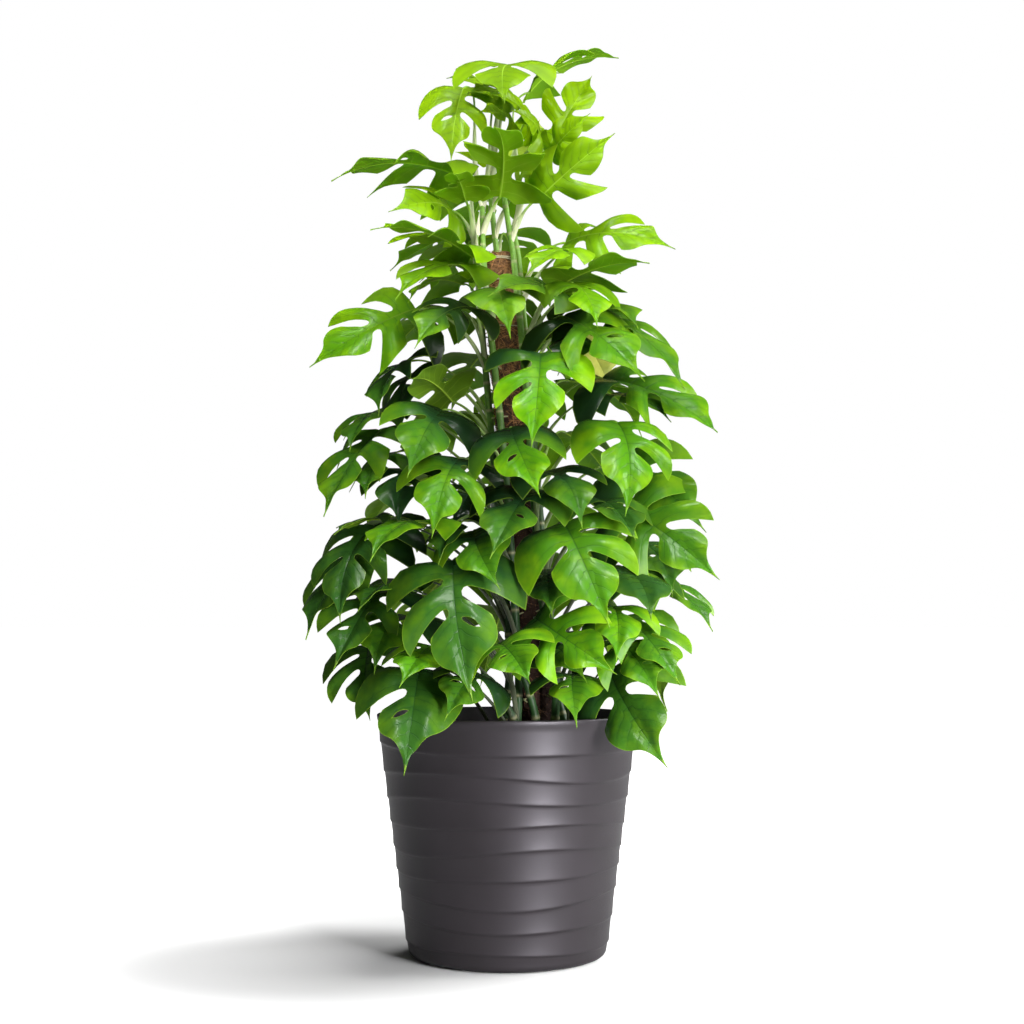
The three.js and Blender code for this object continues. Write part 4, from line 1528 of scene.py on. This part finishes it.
    def skin(self, leaf: Leaf) -> tuple[Array, Array, Array, Array]:
        """Middle surface of a blade, whose grids share their vertices where they touch.

        Args:
            leaf: the leaf.

        Returns:
            Points, triangles, the map place of each corner of each triangle, and the rib's height
            at each point.
        """
        cuts = {side: leaf.openings(side) for side in Side}
        columns = self.columns(cuts[Side.LEFT] + cuts[Side.RIGHT])
        grids = []
        count = 0
        for side in Side:
            for points, places, ribs, size in self.half(leaf, side, cuts[side], columns):
                triangles = grid_triangles(*size, flip=side is Side.LEFT) + count
                grids.append((points, places, ribs, triangles))
                count += len(points)
        points, places, ribs, triangles = (np.concatenate(part) for part in zip(*grids))
        _, kept, merged = np.unique(np.round(points, 3), axis=0, return_index=True, return_inverse=True)
        corners = merged.ravel()[triangles]
        whole = np.all(corners != np.roll(corners, 1, axis=1), axis=1)
        return points[kept], corners[whole], places[triangles[whole]], ribs[kept]

    def tint(self, leaf: Leaf, points: Array, rim: Array) -> Array:
        """Darkness of age and painted shade, paleness, hem and side for each point of the upper skin,
        then of the lower.

        Args:
            leaf: the leaf.
            points: the middle surface.
            rim: numbers of the points on its margin.

        Returns:
            The values, as rows.
        """
        count, age = len(points), leaf.row.age
        # Painted shade: blades, or parts of them, that lie deep in the plant below the crown are darker,
        # on top of the darkness of their age.
        depth = 1 - smooth(*self.core, np.hypot(points[:, 0], points[:, 1] + 10))
        depth = depth * (1 - smooth(*self.crown, points[:, 2]))
        age_and_shade = 0.7 * np.clip(max(age, 0) + 1.2 * depth, 0, 1)
        age_and_shade = age_and_shade + 0.3 * np.clip(2.0 * depth - 0.35, 0, 1)
        share = (points - leaf.base) @ leaf.along / leaf.length
        hem = smooth(0.88, 0.98, share)
        hem[rim] = 1
        upper = np.stack([age_and_shade, np.full(count, max(0, -age)), hem, np.zeros(count)], axis=1)
        return np.vstack([upper, upper + np.array([0, 0, 0, 1])])

    def add_blade(self, piece: MeshPiece, leaf: Leaf) -> None:
        """Add a blade as one thin closed shell with its rib below.

        Args:
            piece: mesh that it goes into.
            leaf: the leaf.
        """
        points, corners, corner_places, ribs = self.skin(leaf)
        normals = np.zeros_like(points)
        first, second, third = (points[corners[:, k]] for k in range(3))
        face_normals = np.cross(second - first, third - first)
        for k in range(3):
            np.add.at(normals, corners[:, k], face_normals)
        normals /= np.linalg.norm(normals, axis=1)[:, None] + 1e-12
        half = self.thickness / 2
        top = points + normals * (half - 0.25 * ribs)[:, None]
        under = points - normals * (half + ribs)[:, None]
        pairs = ([0, 1], [1, 2], [2, 0])
        edges = np.vstack([corners[:, pair] for pair in pairs])
        edge_places = np.concatenate([corner_places[:, pair] for pair in pairs])
        _, where, uses = np.unique(np.sort(edges, axis=1), axis=0, return_index=True, return_counts=True)
        rim = where[uses == 1]
        count = len(points)
        (a, b), places = edges[rim].T, edge_places[rim]
        rim_faces = ((b, a, a + count), (b, a + count, b + count))
        rim_faces = np.vstack([np.stack(face, axis=1) for face in rim_faces])
        rim_places = np.concatenate([places[:, [1, 0, 0]], places[:, [1, 0, 1]]])
        shell = np.vstack([corners, corners[:, ::-1] + count, rim_faces])
        shell_places = np.concatenate([corner_places, corner_places[:, ::-1], rim_places])
        piece.add(np.vstack([top, under]), shell, shell_places, self.tint(leaf, points, a))


@dataclass
class Foliage:
    """All leafy stems: canes, stalks, blades and air roots."""

    pole: CoirPole
    cane: Cane
    root_seed: int = 500
    stalk_rows: int = 22
    stalk_sides: int = 10
    stalk_flatness: float = 0.72
    sheathed: tuple[float, float] = (780, 960)  # height over which dry sheaths come in
    shaded: tuple[float, float] = (400, 850)  # height over which the shade ends
    vines: tuple[Vine, ...] = (
        Vine("front_left", -125, 1010),
        Vine("front_right", -45, 1030),
        Vine("right", 20, 985),
        Vine("back", 95, 1055),
        Vine("left", 168, 975),
    )
    # Start, corner and end of the basal shoots, which come up among the front right stem.
    shoots: tuple[tuple, ...] = (
        ((41, -36, 255), (44, -44, 330), (8, -60, 395)),
        ((60, -34, 255), (64, -48, 330), (66, -62, 430)),
        ((28, -40, 255), (16, -52, 320), (-34, -70, 372)),
    )

    def leaves(self) -> list[LeafRow]:
        """Every leaf of the plan and of the far side.

        Returns:
            The rows, in the order of their numbers.
        """
        rows = []
        for line in PLAN.strip().splitlines():
            stem, *words = line.split()
            places, front, left, right, age = words[:6], *words[6:]
            base, tip = np.array(places, dtype=float).reshape(2, 3)
            rows.append(LeafRow(stem, base, tip, float(front), int(left), int(right), float(age)))
        return [*rows, *FarSide().rows(self.pole)]

    def stalk_line(self, leaf: Leaf, vine: Vine) -> Array:
        """Line of a stalk: up and out of the cane, over in an arc, and flat into the blade.

        Args:
            leaf: the leaf.
            vine: the leafy stem.

        Returns:
            Points of the line, from the cane on.
        """
        level = self.cane.axis(vine, leaf.base[2])
        away = math.hypot(leaf.base[0] - level[0], leaf.base[1] - level[1])
        lowest, highest = self.cane.soil.level + 12, vine.top - 6
        start = self.cane.axis(vine, float(np.clip(leaf.base[2] - 25 - 0.6 * away, lowest, highest)))
        span = float(np.linalg.norm(leaf.base - start))
        outward = leaf.base - start
        outward[2] = 0
        outward = unit(outward)
        rising = start + UP * 0.42 * span + outward * 0.14 * span
        arriving = leaf.base - outward * 0.16 * span - leaf.along * 0.12 * span
        t = np.linspace(0, 1, self.stalk_rows)[:, None]
        way = start * (1 - t) ** 3 + 3 * rising * t * (1 - t) ** 2
        return way + 3 * arriving * t**2 * (1 - t) + leaf.base * t**3

    def add_stalk(self, piece: MeshPiece, leaf: Leaf, vine: Vine) -> None:
        """Add a stalk: winged near the cane, thin on its way and thick again at the blade.

        Args:
            piece: mesh that it goes into.
            leaf: the leaf.
            vine: the leafy stem.
        """
        line = self.stalk_line(leaf, vine)
        share = np.linspace(0, 1, len(line))
        youth = float(smooth(*self.sheathed, leaf.base[2]))
        wing = (1.2 + 0.9 * youth) * (1 - smooth(0.25, 0.62, share))
        radii = mix(2.4, 1.55, share) + wing + 0.5 * pulse(share, 0.95, 0.04)
        # Painted shade: stalks low in the plant are darker, besides the darkness of age.
        depth = 1 - float(smooth(*self.shaded, leaf.base[2]))
        shade = min(float(np.clip(leaf.row.age, 0, 1)) * 0.6 + 0.8 * depth, 1.0)
        patch = tube(line, radii, self.stalk_sides, leaf.sideways, self.stalk_flatness)
        piece.add_patch(patch, (shade, 0.15 + 0.85 * youth, 0, 1))

    def build(self, blade: LivingLeaf, stalk: LivingStalk, skin: GreenCane) -> None:
        """Build each leafy stem in pieces that stand for its solid.

        Args:
            blade: finish of the blades.
            stalk: finish of the stalks.
            skin: finish of the canes.
        """
        maker = BladeMaker()
        finishes = [finish.material() for finish in (blade, stalk, skin)]
        rows = self.leaves()
        for number, vine in enumerate(self.vines):
            node = f"{vine.name}_vine"
            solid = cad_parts[node].data.vertices
            corners = KDTree(len(solid))
            for k, vertex in enumerate(solid):
                corners.insert(vertex.co / MM, k)
            corners.balance()
            pieces = [MeshPiece(f"{vine.name}_{part}") for part in ("blades", "stalks", "cane")]
            blades, stalks, cane = pieces
            for index, row in enumerate(rows):
                if row.vine == vine.name:
                    leaf = settle_leaf(row, index, self.pole, corners)
                    maker.add_blade(blades, leaf)
                    self.add_stalk(stalks, leaf, vine)
            self.cane.add_cane(cane, vine)
            self.cane.add_roots(cane, vine, SeededDraw(self.root_seed + number))
            for shoot in self.shoots if vine.name == "front_right" else ():
                self.cane.add_shoot(cane, *(point(*place) for place in shoot))
            for piece, finish, nodes in zip(pieces, finishes, ((node,), (), ())):
                piece.build(finish, "foliage", nodes)


# ------------------------------------------------------------------ studio


class Lamp(NamedTuple):
    """A soft light: where it hangs, what it looks at, its size, power and beam."""

    name: str
    place: tuple[float, float, float]
    target: tuple[float, float, float]
    size: tuple[float, float]
    power: float  # watts
    spread: float = 180  # degrees
    glints: bool = True


MIDDLE = (0, 0, 0.6)
LAMPS = (
    Lamp("key", (1.5, -2.0, 1.25), MIDDLE, (0.8, 1.9), 74),
    # These two would leave glints on leaves that are seen edge on.
    Lamp("fill", (-1.2, -1.1, 2.3), (0, 0, 1.15), (0.6, 0.6), 2.6, 28, glints=False),
    Lamp("back", (0.7, 1.6, 2.5), (0, 0, 0.8), (1.2, 1.2), 66, glints=False),
    Lamp("strip", (0.85, -1.4, 0.24), (0, 0, 0.1), (0.26, 0.44), 3.0, 50),
    Lamp("side", (2.4, 0.1, 1.4), MIDDLE, (1.2, 1.2), 62),
    Lamp("overhead", (0.3, -0.7, 3.0), MIDDLE, (1.8, 1.8), 34),
    Lamp("top", (0.1, -0.8, 2.6), (0, 0, 0.8), (0.5, 0.5), 21),
)


@dataclass
class Studio:
    """Pale floor, soft lights and the camera."""

    floor_size: float = 240.0  # metres
    camera_place: tuple[float, float, float] = (0.0061, -2.2, 0.4399)
    camera_pitch: float = 3.868  # degrees up
    lens: float = 57.23
    film: float = 36  # mm
    sky: float = 1.0  # what the camera sees
    ambience: float = 0.06  # what lights the plant
    shade_place: tuple[float, float] = (0.25, 0.08)  # metres to the left and to the front
    shade_size: tuple[float, float] = (0.35, 0.25)  # metres

    def add_lamp(self, lamp: Lamp) -> None:
        """Add a soft light that looks at its target.

        Args:
            lamp: the light.
        """
        light = bpy.data.lights.new(lamp.name, "AREA")
        light.shape = "RECTANGLE"
        light.size, light.size_y = lamp.size
        light.energy = lamp.power
        light.spread = math.radians(lamp.spread)
        hung = new_object(lamp.name, light)
        hung.location = lamp.place
        aim = Vector(lamp.target) - Vector(lamp.place)
        hung.rotation_euler = aim.to_track_quat("-Z", "Y").to_euler()
        hung.visible_glossy = lamp.glints

    def paper(self) -> bpy.types.Material:
        """Matt white paper that is lit up to plain white away from the plant.

        Returns:
            The material.
        """
        material, add = new_material("matt_white_paper")
        here = add("TexCoord").outputs["Object"]
        away = add("VectorMath", (here,), operation="LENGTH")
        glow = add("MapRange", (away, 0.2, 1.2, 0.0, 1.0), **SOFT)
        # The plant is lit by the lamps and hardly by the far paper.
        ray = add("LightPath")
        seen = add("MapRange", (ray, 0.0, 1.0, 0.2))
        # Painted shadow: the paper is greyer in an oval at the left of the foot, where the plant's shade
        # falls.
        (left, front), (width, depth) = self.shade_place, self.shade_size
        oval = (here, (1 / width, 1 / depth, 1), (left / width, front / depth, 0))
        oval = add("VectorMath", oval, operation="MULTIPLY_ADD")
        reach = add("VectorMath", (oval,), operation="LENGTH")
        clear = add("MapRange", (reach, 0.5, 1.3), **SOFT)
        plain = add("Mix", (clear, linear("#bcbcbc"), linear("#fafafa")), **RGBA)
        white = add("Mix", (ray, linear("#a8a8a8"), plain), **RGBA)
        shining = add("Math", (glow, seen), operation="MULTIPLY")
        looks = {"Base Color": white, "Roughness": 0.9, "Emission Color": linear("#ffffff")}
        surface = add("BsdfPrincipled", {**looks, "Emission Strength": shining})
        add("OutputMaterial", (surface,))
        return material

    def surroundings(self) -> bpy.types.World:
        """White sky for the camera that lights the plant only a little.

        Returns:
            The world.
        """
        world = bpy.data.worlds.new("studio")
        world.use_nodes = True
        world.node_tree.nodes.clear()
        add = partial(add_node, world.node_tree)
        strength = add("MapRange", (add("LightPath"), 0.0, 1.0, self.ambience, self.sky))
        add("OutputWorld", (add("Background", (linear("#ffffff"), strength)),))
        return world

    def build(self) -> None:
        """Build the floor, the lights, the pale surroundings and the camera."""
        scene = bpy.context.scene
        half = self.floor_size / 2
        mesh = bpy.data.meshes.new("floor")
        corners = [(-half, -half, 0), (half, -half, 0), (half, half, 0), (-half, half, 0)]
        mesh.from_pydata(corners, [], [(0, 1, 2, 3)])
        mesh.materials.append(self.paper())
        floor = new_object("floor", mesh)
        floor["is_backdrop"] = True
        scene.world = self.surroundings()
        for lamp in LAMPS:
            self.add_lamp(lamp)
        scene.view_settings.view_transform = "Standard"
        camera = new_object("camera", bpy.data.cameras.new("camera"))
        camera.data.lens = self.lens
        camera.data.sensor_width = self.film
        camera.location = self.camera_place
        camera.rotation_euler = (math.radians(90 + self.camera_pitch), 0, 0)
        scene.camera = camera


CAD_BOX = tuple(np.array(corner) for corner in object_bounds())


def main() -> None:
    """Build every piece round the frame and note the sizes."""
    logging.basicConfig(level=logging.INFO, format="%(message)s")
    planter = Planter()
    planter.build(MouldedPolypropylene())
    soil = PottingSoil(planter)
    soil.build(
        PlainFibre("peat_potting_soil", "#17110d", "#3d2c20", 4.0),
        PlainFibre("pine_bark_crumbs", "#2b1a10", "#8a5f3c", 3.0),
    )
    pole = CoirPole()
    pole.build(
        PlainFibre("retted_coconut_fibre", "#321b10", "#c08a55", 5.0),
        PlainFibre("jute_thread_twisted", "#a89a78", "#e6dcc0", 1.0),
    )
    Foliage(pole, Cane(pole, soil)).build(LivingLeaf(), LivingStalk(), GreenCane())
    Studio().build()
    visual = [list(corner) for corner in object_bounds()]
    {"cad": [list(corner) for corner in CAD_BOX], "visual": visual}
    LOG.info("box %s", visual)


if __name__ == "__main__":
    main()
